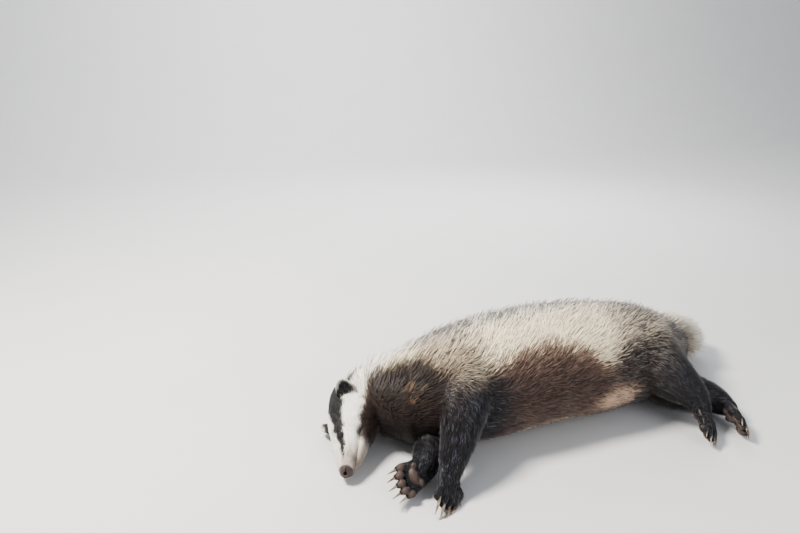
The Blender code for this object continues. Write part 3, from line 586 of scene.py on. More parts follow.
def fused_skin():
    """Trunk, neck, head, tail, legs and paws as one smooth closed skin, finest on the head and the paws."""
    bm = bmesh.new()
    tail = [(Vector(middle), *(size * (TAIL_SKIN - TAIL_NARROWS * i) for size in sizes))
            for i, (middle, *sizes) in enumerate(TAIL[:-1])]
    neck = under_coat(NECK[:3]) + [(middle, depth - 0.003, width - 0.003) for middle, depth, width in NECK[3:]]
    for stations in (under_coat(TRUNK), neck, tail):
        limb(bm, stations)
    for stations in LEGS.values():
        limb(bm, under_fur(stations))
    head(bm)
    paws = paw_frames()
    for place, length, width, _, thick in paws.values():
        paw(bm, place, length, width, thick)
    skin = new_object("skin", bm)
    remesh = skin.modifiers.new("Fuse", "REMESH")
    remesh.mode = "VOXEL"
    remesh.voxel_size = SKIN_VOXEL
    applied(skin)
    places = points_of(skin.data)
    on_paw = np.zeros(len(places), bool)
    for place, length, *_ in paws.values():
        local = local_points(place, places)
        on_paw |= (local[:, 1] > -0.006) & (np.linalg.norm(local, axis=1) < 1.5 * length)
    local = local_points(HEAD_FRAME, places)
    ahead = (places - np.array(HEAD_END)) @ np.array(HEAD_END_WAY)
    fine = on_paw | ((local[:, 1] > -0.150) & (ahead > -0.012))
    groups = {name: skin.vertex_groups.new(name=name) for name in ("fine", "coarse")}
    groups["fine"].add(np.flatnonzero(fine).tolist(), 1.0, "REPLACE")
    groups["coarse"].add(np.flatnonzero(~fine).tolist(), 1.0, "REPLACE")
    for group, rounds in (("coarse", 40), ("fine", 5)):
        smooth = skin.modifiers.new("Blend " + group, "SMOOTH")
        smooth.factor = 0.5
        smooth.iterations = rounds
        smooth.vertex_group = group
    applied(skin)
    count = 2 * len(skin.data.polygons)
    fine_count = sum(2 for face in skin.data.polygons if fine[face.vertices[0]])
    for group, before, target in (("fine", count, count - fine_count + FINE_TRIANGLES),
                                  ("coarse", count, FINE_TRIANGLES + COARSE_TRIANGLES)):
        thin = skin.modifiers.new("Thin", "DECIMATE")
        skin.data.calc_loop_triangles()
        thin.ratio = min(target / len(skin.data.loop_triangles), 1)
        thin.use_collapse_triangulate = True
        thin.vertex_group = group
        applied(skin)
    return skin


def local_points(place, places):
    """The points on the axes of `place`."""
    inverse = np.array(place.inverted())
    return places @ inverse[:3, :3].T + inverse[:3, 3]


def smoothstep(low, high, value):
    share = np.clip((value - low) / (high - low), 0, 1)
    return share * share * (3 - 2 * share)


def unit(vectors):
    return vectors / np.maximum(np.linalg.norm(vectors, axis=-1, keepdims=True), 1e-9)


class Axis:
    """The middle line of one region of the body, with the frame and the sizes of its sections."""

    def __init__(self, stations, up=UP, steps=8):
        rows = np.array(smooth_rows([(*middle, *sizes) for middle, *sizes in stations], steps))
        self.points = rows[:, :3]
        self.sizes = rows[:, 3:]
        self.way = unit(np.gradient(self.points, axis=0))
        up = np.array(up)
        self.width = unit(up - self.way * (self.way @ up)[:, None])
        self.depth = np.cross(self.way, self.width)

    def place(self, points):
        """For each point: the nearest section, the share of the length, the angle round it from the belly over
        the side that is up, and how far out the point is in section sizes."""
        gaps = ((points ** 2).sum(1)[:, None] + (self.points ** 2).sum(1)[None, :]
                - 2 * points @ self.points.T)
        near = gaps.argmin(1)
        from_middle = points - self.points[near]
        deep = (from_middle * self.depth[near]).sum(1) / self.sizes[near, 0]
        wide = (from_middle * self.width[near]).sum(1) / self.sizes[near, 1]
        ahead = (from_middle * self.way[near]).sum(1) / self.sizes[near].mean(1)
        out = np.sqrt(deep ** 2 + wide ** 2 + ahead ** 2)
        return near, near / (len(self.points) - 1), np.arctan2(wide, deep) % math.tau, out


TRUNK_AXIS = Axis(tuple(reversed(NECK[1:])) + TRUNK[1:])
TAIL_AXIS = Axis(TAIL + ((tuple(TAIL_TIP), 0.028, 0.024),))
HEAD_AXIS = Axis([(tuple(on_head(0, back, (above - below) / 2)), (above + below) / 2, half_width)
                  for back, half_width, above, below in HEAD])
LEG_AXES = {name: Axis(stations) for name, stations in LEGS.items()}
PAW_AXES = {
    name: Axis([(tuple(place @ Vector((0, share * length, 0))), 0.40 * width, 0.40 * thick)
                for share in (0.0, 0.35, 0.7, 1.05)], place.to_3x3() @ Vector((0, 0, 1)))
    for name, (place, length, width, _, thick) in paw_frames().items()
}
REGIONS = {"trunk": TRUNK_AXIS, "tail": TAIL_AXIS, "head": HEAD_AXIS, **LEG_AXES, **PAW_AXES}
REGION_SHARPNESS = 7


# Each ear's axes, which main() finds on the head
EAR_PLACES = {}


def region_shares(points, placed):
    """How much each point belongs to each region. The head ends at the plane that parts it from the neck."""
    close = {name: 1 / np.maximum(placed[name][3], 0.05) ** REGION_SHARPNESS for name in placed}
    ahead = (points - np.array(HEAD_END)) @ np.array(HEAD_END_WAY)
    close["trunk"] = close["trunk"] * smoothstep(0.010, -0.006, ahead) + 1e-9
    close["head"] = close["head"] * smoothstep(-0.014, 0.004, ahead) + 1e-9
    for name in LEG_AXES:
        # A leg's hair takes over from the trunk's a little way down
        close[name] = close[name] * (0.12 + 0.88 * smoothstep(0.05, 0.34, placed[name][1]))
    total = sum(close.values())
    return {name: value / total for name, value in close.items()}


def nearest_region(points):
    """The number of the region that each point belongs to."""
    shares = region_shares(points, {name: axis.place(points) for name, axis in REGIONS.items()})
    return np.argmax(list(shares.values()), axis=0)



def colour(red, green, blue):
    """A colour given as 0 to 255 on screen, as linear light."""
    return np.array([(v / 255 / 12.92) if v / 255 <= 0.04045 else ((v / 255 + 0.055) / 1.055) ** 2.4
                     for v in (red, green, blue)])


CREAM = colour(250, 233, 200)
WHITE = colour(252, 247, 238)
SILVER = colour(172, 164, 158)
DARK_BAND = colour(34, 29, 30)
TAN = colour(176, 144, 112)
GREY_BROWN = colour(140, 120, 104)
TAN_BROWN = colour(136, 113, 98)
BROWN = colour(98, 78, 69)
THROAT = colour(40, 29, 25)
FACE_BLACK = colour(27, 26, 29)
LEG_BLACK = colour(22, 21, 25)
# Pale bluish grey for the painted highlight on the tips of black leg hair
PAINTED_LEG_HIGHLIGHT = colour(118, 120, 136)
PINK = colour(206, 170, 146)
SKIN_DARK = colour(70, 56, 50)
NOSE = colour(76, 62, 60)
LID_SKIN = colour(34, 28, 30)
PAD = colour(80, 66, 60)
TAIL_ROOT = colour(224, 200, 156)
CHIN = colour(206, 190, 172)
MUZZLE = colour(150, 132, 122)

# The edge between the pale flank and the brown belly on the side that is up: X and degrees from the belly
BELLY_EDGE = ((-0.24, 28), (-0.20, 36), (-0.157, 41), (-0.10, 48), (-0.05, 51), (-0.02, 48), (0.03, 36),
              (0.06, 24), (0.12, 18))


class Coat:
    """What the fur is like at each point: its lie, length, lift, width and colours, all as arrays."""

    def __init__(self, points, normals, draw, uneven=0.0):
        count = len(points)
        self.points, self.normals = points, normals
        # The markings run into each other: each hair takes them from a place a little way off
        near_head = smoothstep(0.20, 0.14, np.linalg.norm(points - np.array(NOSE_TIP), axis=1))
        far = uneven * (1 - 0.80 * near_head)
        points = points + draw.normal(0, 1, points.shape) * far[:, None]
        self.marked = points
        self.placed = {name: axis.place(points) for name, axis in REGIONS.items()}
        self.share = region_shares(points, self.placed)
        near, self.along, self.angle, _ = self.placed["trunk"]
        self.head = local_points(HEAD_FRAME, points)
        self.legs = sum(self.share[name] for name in LEG_AXES)
        self.paws = sum(self.share[name] for name in PAW_AXES)
        self.ears = self.share["ear_left"] + self.share["ear_right"]
        self.lie = self.lie_of(near)
        self.measure(draw, count)
        self.paint(draw, count)

    def lie_of(self, near):
        """The way the hair points, along the skin."""
        way = np.zeros_like(self.points)
        axis = TRUNK_AXIS
        round_it = (-np.sin(self.angle)[:, None] * axis.depth[near] + np.cos(self.angle)[:, None] * axis.width[near])
        to_back = np.where(self.angle < math.pi, 1.0, -1.0)
        degrees = np.degrees(np.where(self.angle < math.pi, self.angle, math.tau - self.angle))
        turn = np.radians(np.interp(degrees, (0, 20, 45, 75, 110, 150, 180), (4, 10, 34, 40, 34, 18, 0)))
        turn *= 1 - 0.75 * smoothstep(0.62, 0.85, self.along) * smoothstep(100, 40, degrees)
        trunk = axis.way[near] * np.cos(turn)[:, None] + round_it * (to_back * np.sin(turn))[:, None]
        way += self.share["trunk"][:, None] * trunk
        for name in REGIONS:
            if name == "trunk":
                continue
            index = self.placed[name][0]
            region_axis = REGIONS[name]
            flow = region_axis.way[index]
            if name == "tail":
                from_middle = unit(self.points - region_axis.points[index])
                flow = unit(flow + TAIL_FAN * from_middle)
            way += self.share[name][:, None] * flow
        free = smoothstep(0.3, 0.8, self.share["tail"])[:, None]
        on_skin = way - self.normals * (way * self.normals).sum(1)[:, None]
        return unit(on_skin * (1 - free) + way * free)

    def measure(self, draw, count):
        """Length, lift of the tip over the skin, and width."""
        share = self.share
        back_lift = 0.0085 + 0.0030 * self.normals[:, 1] + 0.0042 * self.normals[:, 2]
        degrees = np.degrees(np.abs(self.angle - math.pi))
        long_hair = np.interp(degrees, (0, 70, 110, 135, 180), (0.046, 0.042, 0.034, 0.020, 0.017))
        neck = smoothstep(0.42, 0.10, self.along)
        long_hair = long_hair * (1 - 0.45 * neck)
        back = -self.head[:, 1]
        face_hair = np.interp(back, (0.0, 0.02, 0.05, 0.09, 0.13, 0.16), (0.0022, 0.0035, 0.0060, 0.0095, 0.014, 0.018))
        leg_hair = np.interp(np.maximum.reduce([self.placed[n][1] * (self.share[n] > 0.2) for n in LEG_AXES]),
                             (0.0, 0.35, 0.7, 1.0), (0.026, 0.020, 0.014, 0.009))
        tail_hair = np.interp(self.placed["tail"][1], (0.0, 0.4, 1.0), (0.070, 0.086, 0.056))
        self.length = (share["trunk"] * long_hair + share["tail"] * tail_hair + share["head"] * face_hair
                       + self.legs * leg_hair + self.paws * 0.0065 + self.ears * 0.0060)
        self.lift = (share["trunk"] * back_lift * np.interp(degrees, (0, 120, 150, 180), (1, 1, 0.7, 0.6))
                     + share["tail"] * 0.004 + share["head"] * np.clip(face_hair * 0.14, 0.0005, 0.003)
                     + self.legs * np.clip(leg_hair * 0.24, 0.0015, 0.005) + self.paws * 0.0012
                     + self.ears * 0.0008)
        face_width = np.interp(back, (0.0, 0.05, 0.12), (0.00040, 0.00052, 0.00075))
        self.width = (share["trunk"] * 0.0010 + share["tail"] * 0.0012 + share["head"] * face_width
                      + self.legs * 0.0009 + self.paws * 0.0006 + self.ears * 0.0006)
        self.width *= draw.choice((0.75, 0.9, 1.5), count)
        self.free = smoothstep(0.3, 0.8, share["tail"])
        # The tail's hair ends on the outline of its fan
        out = TAIL_AXIS.place(self.points + self.lie * self.length[:, None])[3]
        self.length *= 1 + self.free * (np.clip(TAIL_REACH / out, 0.35, 1.15) - 1)

    def paint(self, draw, count):
        """Root, band and tip colours. Each hair draws whether it is a dark one."""
        degrees = np.degrees(np.abs(self.angle - math.pi))
        x, y, z = self.marked.T
        ones = np.ones((count, 1))
        root, band, tip = ones * CREAM, ones * DARK_BAND, ones * WHITE
        dark_share = np.interp(degrees, (0, 70, 84, 94, 106, 180), (0.72, 0.70, 0.62, 0.30, 0.02, 0.02))
        # Rump and shoulder are more grizzled than the flank, and the neck is nearly plain
        rump = smoothstep(0.055, 0.165, x) * self.share["trunk"]
        shoulder = smoothstep(-0.13, -0.20, x) * smoothstep(0.30, 0.36, self.along)
        dark_share = np.maximum(dark_share, 0.62 * rump)
        dark_share = np.maximum(dark_share, 0.34 * shoulder)
        base = blend_to(root, GREY_BROWN, 0.85 * rump)
        base = blend_to(base, TAN, 0.62 * shoulder)
        base = blend_to(base, SILVER, 0.60 * smoothstep(102, 80, degrees))
        tips = blend_to(tip, CREAM, 0.75 * smoothstep(88, 108, degrees))
        tips = blend_to(tips, SILVER, 0.55 * rump + 0.40 * shoulder)
        # Belly
        edge = np.interp(x, *zip(*BELLY_EDGE))
        side = 180 - degrees
        belly = smoothstep(edge + 5, edge - 5, side) * (1 - smoothstep(0.27, 0.22, self.along))
        underside = (self.angle > math.pi) & (side < 70)
        belly = np.where(underside, smoothstep(70, 40, side), belly)
        deep = np.where(underside, 1.0, smoothstep(edge, edge - 26, side))
        base = blend_to(base, TAN_BROWN, belly)
        base = blend_to(base, BROWN, belly * deep)
        tips = blend_to(tips, TAN_BROWN * 1.15, belly)
        tips = blend_to(tips, BROWN * 1.35, belly * deep)
        dark_share = dark_share * (1 - belly) + (0.30 + 0.25 * deep) * belly
        band = blend_to(band, THROAT, belly)
        # Pale hair of the side below shows along the belly's lower edge
        fringe = smoothstep(333, 326, np.degrees(self.angle)) * smoothstep(306, 313, np.degrees(self.angle))
        fringe *= smoothstep(-0.13, -0.10, x) * smoothstep(0.05, 0.02, x)
        base, tips = blend_to(base, TAN, 0.6 * fringe), blend_to(tips, CREAM, 0.7 * fringe)
        # Black hair behind the elbow, partly the hair's own colour and partly painted shade for the shadow that the
        # foreleg casts on the belly there
        elbow_black_and_shade = smoothstep(-0.235, -0.205, x) * smoothstep(-0.100, -0.165, x) * smoothstep(44, 26, side)
        base, tips = blend_to(base, LEG_BLACK, elbow_black_and_shade), blend_to(tips, LEG_BLACK * 2.0, elbow_black_and_shade)
        # The thigh's dark hair climbs on to the rump
        haunch_edge = np.interp(x, (0.05, 0.085, 0.13, 0.17, 0.21, 0.26), (22, 32, 42, 48, 54, 66))
        haunch = smoothstep(0.045, 0.095, x) * smoothstep(haunch_edge + 11, haunch_edge - 9, side)
        base, tips = blend_to(base, BROWN * 0.5, haunch), blend_to(tips, SILVER * 0.7, 0.75 * haunch)
        dark_share = np.maximum(dark_share, 0.80 * haunch)
        # The bare pale skin of the groin shows through thin hair
        groin = blob(self.points, (0.084, -0.103, 0.064), (0.050, 0.045, 0.036))
        base, tips = blend_to(base, PINK, 0.9 * groin), blend_to(tips, 0.6 * PINK + 0.4 * CREAM, 0.8 * groin)
        dark_share *= 1 - 0.7 * groin
        # Chest and throat, dark, with paler swirls
        throat = smoothstep(0.40, 0.33, self.along) * smoothstep(76, 56, side)
        chest = smoothstep(-0.205, -0.235, x) * smoothstep(60, 40, side)
        dark_chest = np.clip(throat + chest, 0, 1)
        base, tips = blend_to(base, THROAT, dark_chest), blend_to(tips, BROWN * 0.5, dark_chest)
        dark_share = dark_share * (1 - dark_chest) + 0.5 * dark_chest
        swirls = np.clip(blob(self.points, (-0.292, -0.078, 0.126), (0.016, 0.012, 0.010))
                         + blob(self.points, (-0.272, -0.088, 0.132), (0.010, 0.010, 0.014))
                         + blob(self.points, (-0.296, -0.092, 0.108), (0.018, 0.012, 0.007)), 0, 1)
        base, tips = blend_to(base, TAN, 0.8 * swirls), blend_to(tips, TAN * 1.15, 0.8 * swirls)
        # Nape and cheek stripes of the neck
        on_neck = smoothstep(0.36, 0.28, self.along) * self.share["trunk"]
        nape = on_neck * smoothstep(100, 112, side)
        base, tips = blend_to(base, FACE_BLACK, 0.75 * nape), blend_to(tips, SILVER, 0.5 * nape)
        band_low = np.interp(self.along, (0.09, 0.23, 0.27, 0.30, 0.34), (70, 66, 80, 89, 101))
        white_band = on_neck * smoothstep(band_low - 5, band_low + 4, side) * smoothstep(113, 104, side)
        dark_share *= 1 - 0.95 * white_band
        base, tips = blend_to(base, WHITE, white_band), blend_to(tips, WHITE, white_band)
        # Legs
        leg_dark = np.clip(self.legs + self.paws, 0, 1)
        fore_share = np.clip(self.share["foreleg_left"] + self.share["foreleg_right"], 0, 1)
        fore_along = np.where(self.share["foreleg_left"] > self.share["foreleg_right"],
                              self.placed["foreleg_left"][1], self.placed["foreleg_right"][1])
        hind_along = np.where(self.share["hindleg_left"] > self.share["hindleg_right"],
                              self.placed["hindleg_left"][1], self.placed["hindleg_right"][1])
        hind_share = np.clip(self.share["hindleg_left"] + self.share["hindleg_right"], 0, 1)
        black = fore_share * smoothstep(0.07, 0.23, fore_along) + hind_share * smoothstep(0.20, 0.46, hind_along)
        black = np.clip(black + self.paws, 0, 1)
        base, band = blend_to(base, LEG_BLACK, black), blend_to(band, LEG_BLACK, black)
        tips = blend_to(tips, LEG_BLACK * 1.5, black)
        # Painted highlight: about a quarter of the hairs on the black legs and behind the elbow get pale bluish-grey
        # tips that stand for light glancing off black hair
        sheen = np.maximum(black, elbow_black_and_shade) * (draw.random(count) < 0.24)
        tips = blend_to(tips, PAINTED_LEG_HIGHLIGHT, 0.85 * sheen)
        # Tail
        tail = self.share["tail"]
        base, tips = blend_to(base, TAIL_ROOT, tail), blend_to(tips, WHITE, tail)
        dark_share = dark_share * (1 - tail) + 0.06 * tail
        # Head
        face, face_tips, face_dark = self.face_colours(draw, count)
        head_share = self.share["head"] + self.ears
        base, tips = blend_to(base, face, head_share), blend_to(tips, face_tips, head_share)
        dark_share = dark_share * (1 - head_share)
        band = blend_to(band, face_tips, head_share)
        patchy = np.sin(x * 610 + 2 * np.sin(z * 430)) * np.sin(y * 570 + 2 * np.sin(x * 390 + 1))
        mixed = dark_share * (1 - dark_share)
        is_dark = draw.random(count) < dark_share + 1.3 * mixed * patchy
        fade = draw.uniform(0.80, 1.12, count)[:, None]
        self.base = base * fade
        self.band = np.where(is_dark[:, None], band, 0.5 * (base + tips)) * fade
        self.tip = np.where((is_dark & (draw.random(count) < 0.50))[:, None], band * 1.3, tips) * fade
        self.skin_colour = np.clip(base * (1 - 0.30 * dark_share[:, None]), 0, 1)
        self.dark_share = dark_share

    def face_colours(self, draw, count):
        """White blaze, black stripe through eye and ear, white cheek stripe, dark throat and pale chin."""
        right, forward, high = self.head.T
        back = -forward
        angle = np.degrees(np.arctan2(high, np.abs(right)))
        uneven = 1.5 * np.sin(back * 420) + 1.2 * np.sin(back * 230 + 1)
        low = np.interp(back, (0.015, 0.035, 0.050, 0.080, 0.112, 0.130, 0.160), (17, 12, 13, 15, 15, 4, -4)) + uneven
        top = np.interp(back, (0.015, 0.022, 0.040, 0.056, 0.075, 0.090, 0.105, 0.150),
                        (19, 26, 36, 44, 50, 60, 72, 76)) + uneven
        stripe = smoothstep(low - 2.5, low + 2.5, angle) * smoothstep(top + 2.5, top - 2.5, angle)
        stripe *= smoothstep(0.014, 0.024, back)
        throat_edge = np.interp(back, (0.030, 0.044, 0.058, 0.075, 0.098, 0.131), (-88, -66, -30, -20, -19, -22))
        throat_edge = throat_edge + 2 * uneven
        throat = smoothstep(throat_edge + 4, throat_edge - 9, angle) * smoothstep(0.036, 0.060, back)
        chin = smoothstep(-35, -55, angle) * (1 - throat)
        face = np.ones((count, 1)) * WHITE
        face = blend_to(face, CHIN, 0.7 * chin)
        muzzle = smoothstep(0.048, 0.016, back)
        face = blend_to(face, MUZZLE, muzzle * (0.36 + 0.42 * smoothstep(45, 18, angle)))
        face = blend_to(face, FACE_BLACK, stripe)
        face = blend_to(face, THROAT, throat)
        for name in ("ear_left", "ear_right"):
            if self.share[name].max() < 0.2:
                continue
            local = local_points(EAR_PLACES[name], self.marked)
            rim = np.hypot(local[:, 0] / (EAR_WIDTH / 2), np.maximum(local[:, 1], 0) / EAR_HEIGHT)
            white = smoothstep(0.74, 0.90, rim) * smoothstep(0.25, 0.45, local[:, 1] / EAR_HEIGHT)
            face = blend_to(face, FACE_BLACK, self.share[name])
            face = blend_to(face, WHITE, self.share[name] * white)
            stripe = np.maximum(stripe, self.share[name] * (1 - white))
        strays = draw.random(count)
        tips = face.copy()
        tips = blend_to(tips, SILVER * 0.4, stripe * (strays < 0.12))
        tips = blend_to(tips, BROWN, throat * (strays < 0.4))
        return face, tips, stripe


def blend_to(colours, target, share):
    share = np.clip(share, 0, 1)[:, None]
    return colours * (1 - share) + target * share


def blob(points, middle, radii):
    """1 in the middle of an ellipsoid, falling to 0 at its surface and a little beyond."""
    far = np.linalg.norm((points - np.array(middle)) / np.array(radii), axis=1)
    return smoothstep(1.25, 0.45, far)


def bare_parts(points, normals, lines):
    """1 on bare skin: nose, lips, lid edges and pads."""
    head_points = local_points(HEAD_FRAME, points)
    near_nose = np.linalg.norm(head_points, axis=1)
    pad = (head_points - np.array((0, -0.0045, 0.0005))) / np.array((0.0155, 0.0095, 0.0125))
    bare = smoothstep(1.08, 0.96, np.linalg.norm(pad, axis=1))
    for line, reach in lines:
        line = np.array(line)
        near = np.full(len(points), 1.0)
        close = np.flatnonzero(near_nose < 0.09)
        gaps = np.linalg.norm(points[close][:, None, :] - line[None, :, :], axis=2).min(1)
        near[close] = gaps
        bare = np.maximum(bare, smoothstep(reach, reach * 0.5, near))
    pads = np.zeros(len(points))
    for place, length, width, _, thick in paw_frames().values():
        for pad, radii in paw_pads(place, length, width, thick):
            local = local_points(pad, points)
            size = np.linalg.norm(local / (np.array(radii) * 1.12), axis=1)
            down = -(normals @ np.array(place.to_3x3() @ Vector((0, 0, 1))))
            pads = np.maximum(pads, smoothstep(1.12, 0.98, size) * smoothstep(0.05, 0.30, down))
    return bare, pads


def node(tree, kind, place, **values):
    made = tree.nodes.new(kind)
    made.location = place
    for name, value in values.items():
        setattr(made, name, value)
    return made


def shader_material(name, roughness, specular=0.4, sheen=0.0):
    """A new material, its node tree, its shader and object coordinates."""
    made = bpy.data.materials.new(name)
    made.use_nodes = True
    tree = made.node_tree
    shader = tree.nodes["Principled BSDF"]
    shader.inputs["Roughness"].default_value = roughness
    shader.inputs["Specular IOR Level"].default_value = specular
    shader.inputs["Sheen Weight"].default_value = sheen
    coordinates = node(tree, "ShaderNodeTexCoord", (-1200, 0))
    return made, tree, shader, coordinates.outputs["Object"]


def noise(tree, vector, scale, detail=3.0, place=(-900, 0)):
    made = node(tree, "ShaderNodeTexNoise", place)
    made.inputs["Scale"].default_value = scale
    made.inputs["Detail"].default_value = detail
    tree.links.new(vector, made.inputs["Vector"])
    return made.outputs["Fac"]


def ranged(tree, value, low, high, place=(-600, 0)):
    made = node(tree, "ShaderNodeMapRange", place)
    made.inputs["To Min"].default_value = low
    made.inputs["To Max"].default_value = high
    tree.links.new(value, made.inputs["Value"])
    return made.outputs["Result"]


def multiplied(tree, colour_socket, factor, place=(-350, 0)):
    """The colour times a grey factor."""
    made = node(tree, "ShaderNodeMix", place, data_type="RGBA", blend_type="MULTIPLY")
    made.inputs["Factor"].default_value = 1.0
    tree.links.new(colour_socket, made.inputs["A"])
    tree.links.new(factor, made.inputs["B"])
    return made.outputs["Result"]


def bumped(tree, shader, height, strength, distance, place=(-250, -400)):
    made = node(tree, "ShaderNodeBump", place)
    made.inputs["Strength"].default_value = strength
    made.inputs["Distance"].default_value = distance
    tree.links.new(height, made.inputs["Height"])
    tree.links.new(made.outputs["Normal"], shader.inputs["Normal"])


def coat_material(name, roughness, sheen):
    """Fur: the tufts' own colours, uneven in patches and from hair to hair."""
    made, tree, shader, place = shader_material(name, roughness, 0.35, sheen)
    paint = node(tree, "ShaderNodeAttribute", (-900, 300), attribute_name="Coat")
    patches = ranged(tree, noise(tree, place, 38, 3, (-900, 0)), 0.86, 1.12, (-600, 0))
    hairs = ranged(tree, noise(tree, place, 900, 2, (-900, -250)), 0.80, 1.18, (-600, -250))
    shaded = multiplied(tree, multiplied(tree, paint.outputs["Color"], patches), hairs, (-150, 0))
    tree.links.new(shaded, shader.inputs["Base Color"])
    gloss = ranged(tree, noise(tree, place, 260, 2, (-900, -500)), roughness - 0.10, roughness + 0.12, (-600, -500))
    tree.links.new(gloss, shader.inputs["Roughness"])
    return made


def skin_material():
    """Skin under the fur: its own markings, short hair as fine bump, and leathery nose, lips and pads."""
    made, tree, shader, place = shader_material("skin", 0.7, 0.35, 0.10)
    paint = node(tree, "ShaderNodeAttribute", (-900, 300), attribute_name="Coat")
    bare = node(tree, "ShaderNodeAttribute", (-900, -650), attribute_name="Bare")
    patches = ranged(tree, noise(tree, place, 60, 4, (-900, 0)), 0.82, 1.12, (-600, 0))
    shaded = multiplied(tree, paint.outputs["Color"], patches)
    tree.links.new(shaded, shader.inputs["Base Color"])
    tree.links.new(ranged(tree, bare.outputs["Fac"], 0.72, 0.42, (-600, -650)), shader.inputs["Roughness"])
    leather = node(tree, "ShaderNodeTexVoronoi", (-900, -900))
    leather.inputs["Scale"].default_value = 1300
    tree.links.new(place, leather.inputs["Vector"])
    hair = noise(tree, place, 1500, 2, (-900, -300))
    mixed = node(tree, "ShaderNodeMix", (-450, -800), data_type="FLOAT")
    tree.links.new(bare.outputs["Fac"], mixed.inputs["Factor"])
    tree.links.new(hair, mixed.inputs["A"])
    tree.links.new(leather.outputs["Distance"], mixed.inputs["B"])
    bumped(tree, shader, mixed.outputs["Result"], 0.6, 0.0004)
    return made


def horn_material(name, dark, pale):
    """Horn for claws and whiskers: a fine noise runs between the dark and the pale colour, rougher where paler, with a
    faint bump.
    """
    made, tree, shader, place = shader_material(name, 0.35, 0.5)
    lines = noise(tree, place, 160, 5)
    ramp = node(tree, "ShaderNodeValToRGB", (-500, 100))
    ramp.color_ramp.elements[0].color = (*dark, 1)
    ramp.color_ramp.elements[0].position = 0.30
    ramp.color_ramp.elements[1].color = (*pale, 1)
    ramp.color_ramp.elements[1].position = 0.74
    ramp.color_ramp.interpolation = "EASE"
    tree.links.new(lines, ramp.inputs["Fac"])
    tree.links.new(ramp.outputs["Color"], shader.inputs["Base Color"])
    tree.links.new(ranged(tree, lines, 0.28, 0.50, (-500, -200)), shader.inputs["Roughness"])
    bumped(tree, shader, lines, 0.4, 0.0002)
    return made


def eye_material():
    """A dark brown eye under a glossy coat, dulled a little, its colour and roughness varying in a fine noise."""
    made, tree, shader, place = shader_material("eye", 0.12, 0.6)
    shader.inputs["Coat Weight"].default_value = 0.6
    shader.inputs["Coat Roughness"].default_value = 0.08
    veins = noise(tree, place, 700, 4)
    ramp = node(tree, "ShaderNodeValToRGB", (-500, 100))
    ramp.color_ramp.elements[0].color = (*colour(20, 14, 12), 1)
    ramp.color_ramp.elements[1].color = (*colour(40, 28, 22), 1)
    tree.links.new(veins, ramp.inputs["Fac"])
    tree.links.new(ramp.outputs["Color"], shader.inputs["Base Color"])
    tree.links.new(ranged(tree, veins, 0.10, 0.22, (-500, -200)), shader.inputs["Roughness"])
    bumped(tree, shader, veins, 0.1, 0.0001)
    return made


def rim_material():
    made, tree, shader, place = shader_material("lid_edge", 0.4, 0.5)
    spots = noise(tree, place, 900, 3)
    ramp = node(tree, "ShaderNodeValToRGB", (-500, 100))
    ramp.color_ramp.elements[0].color = (*colour(24, 19, 20), 1)
    ramp.color_ramp.elements[1].color = (*colour(52, 42, 42), 1)
    tree.links.new(spots, ramp.inputs["Fac"])
    tree.links.new(ramp.outputs["Color"], shader.inputs["Base Color"])
    bumped(tree, shader, spots, 0.4, 0.0002)
    return made


def colour_attribute(mesh, values):
    """Gives each vertex its colour."""
    attribute = mesh.color_attributes.new("Coat", "FLOAT_COLOR", "POINT")
    flat = np.ones((len(values), 4), np.float32)
    flat[:, :3] = values
    attribute.data.foreach_set("color", flat.ravel())


def settled(obj, slot, *replaced):
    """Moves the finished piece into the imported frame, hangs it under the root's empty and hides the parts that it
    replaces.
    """
    obj.data.transform(Matrix.Translation(SHIFT))
    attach(obj, "root")
    if replaced:
        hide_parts(*replaced)
    return obj


def surface_samples(mesh, per_area, draw):
    """Random places on the mesh: points, smooth normals and the share of each triangle that `per_area` asks for.
    `per_area` gives tufts for each square metre from triangle middles and normals."""
    mesh.calc_loop_triangles()
    corners = np.zeros(len(mesh.loop_triangles) * 3, np.int64)
    mesh.loop_triangles.foreach_get("vertices", corners)
    corners = corners.reshape(-1, 3)
    places = points_of(mesh)
    normals = np.zeros(len(mesh.vertices) * 3)
    mesh.vertices.foreach_get("normal", normals)
    normals = normals.reshape(-1, 3)
    a, b, c = (places[corners[:, k]] for k in range(3))
    cross = np.cross(b - a, c - a)
    area = np.linalg.norm(cross, axis=1) / 2
    wanted = area * per_area((a + b + c) / 3, unit(cross))
    counts = np.floor(wanted + draw.random(len(wanted))).astype(int)
    index = np.repeat(np.arange(len(corners)), counts)
    u, v = draw.random((2, len(index)))
    flip = u + v > 1
    u[flip], v[flip] = 1 - u[flip], 1 - v[flip]
    w = 1 - u - v
    mix = np.stack((w, u, v), axis=1)[:, :, None]
    points = (places[corners[index]] * mix).sum(1)
    return points, unit((normals[corners[index]] * mix).sum(1))


# A few hairs stand further out than the rest
STRAY_SHARE, STRAY_LIFT = 0.12, 1.7
TAIL_REACH = 1.02
TAIL_FAN = 0.80  # how far the tail's hair turns out from its middle line
UP_ARRAY = np.array(UP)


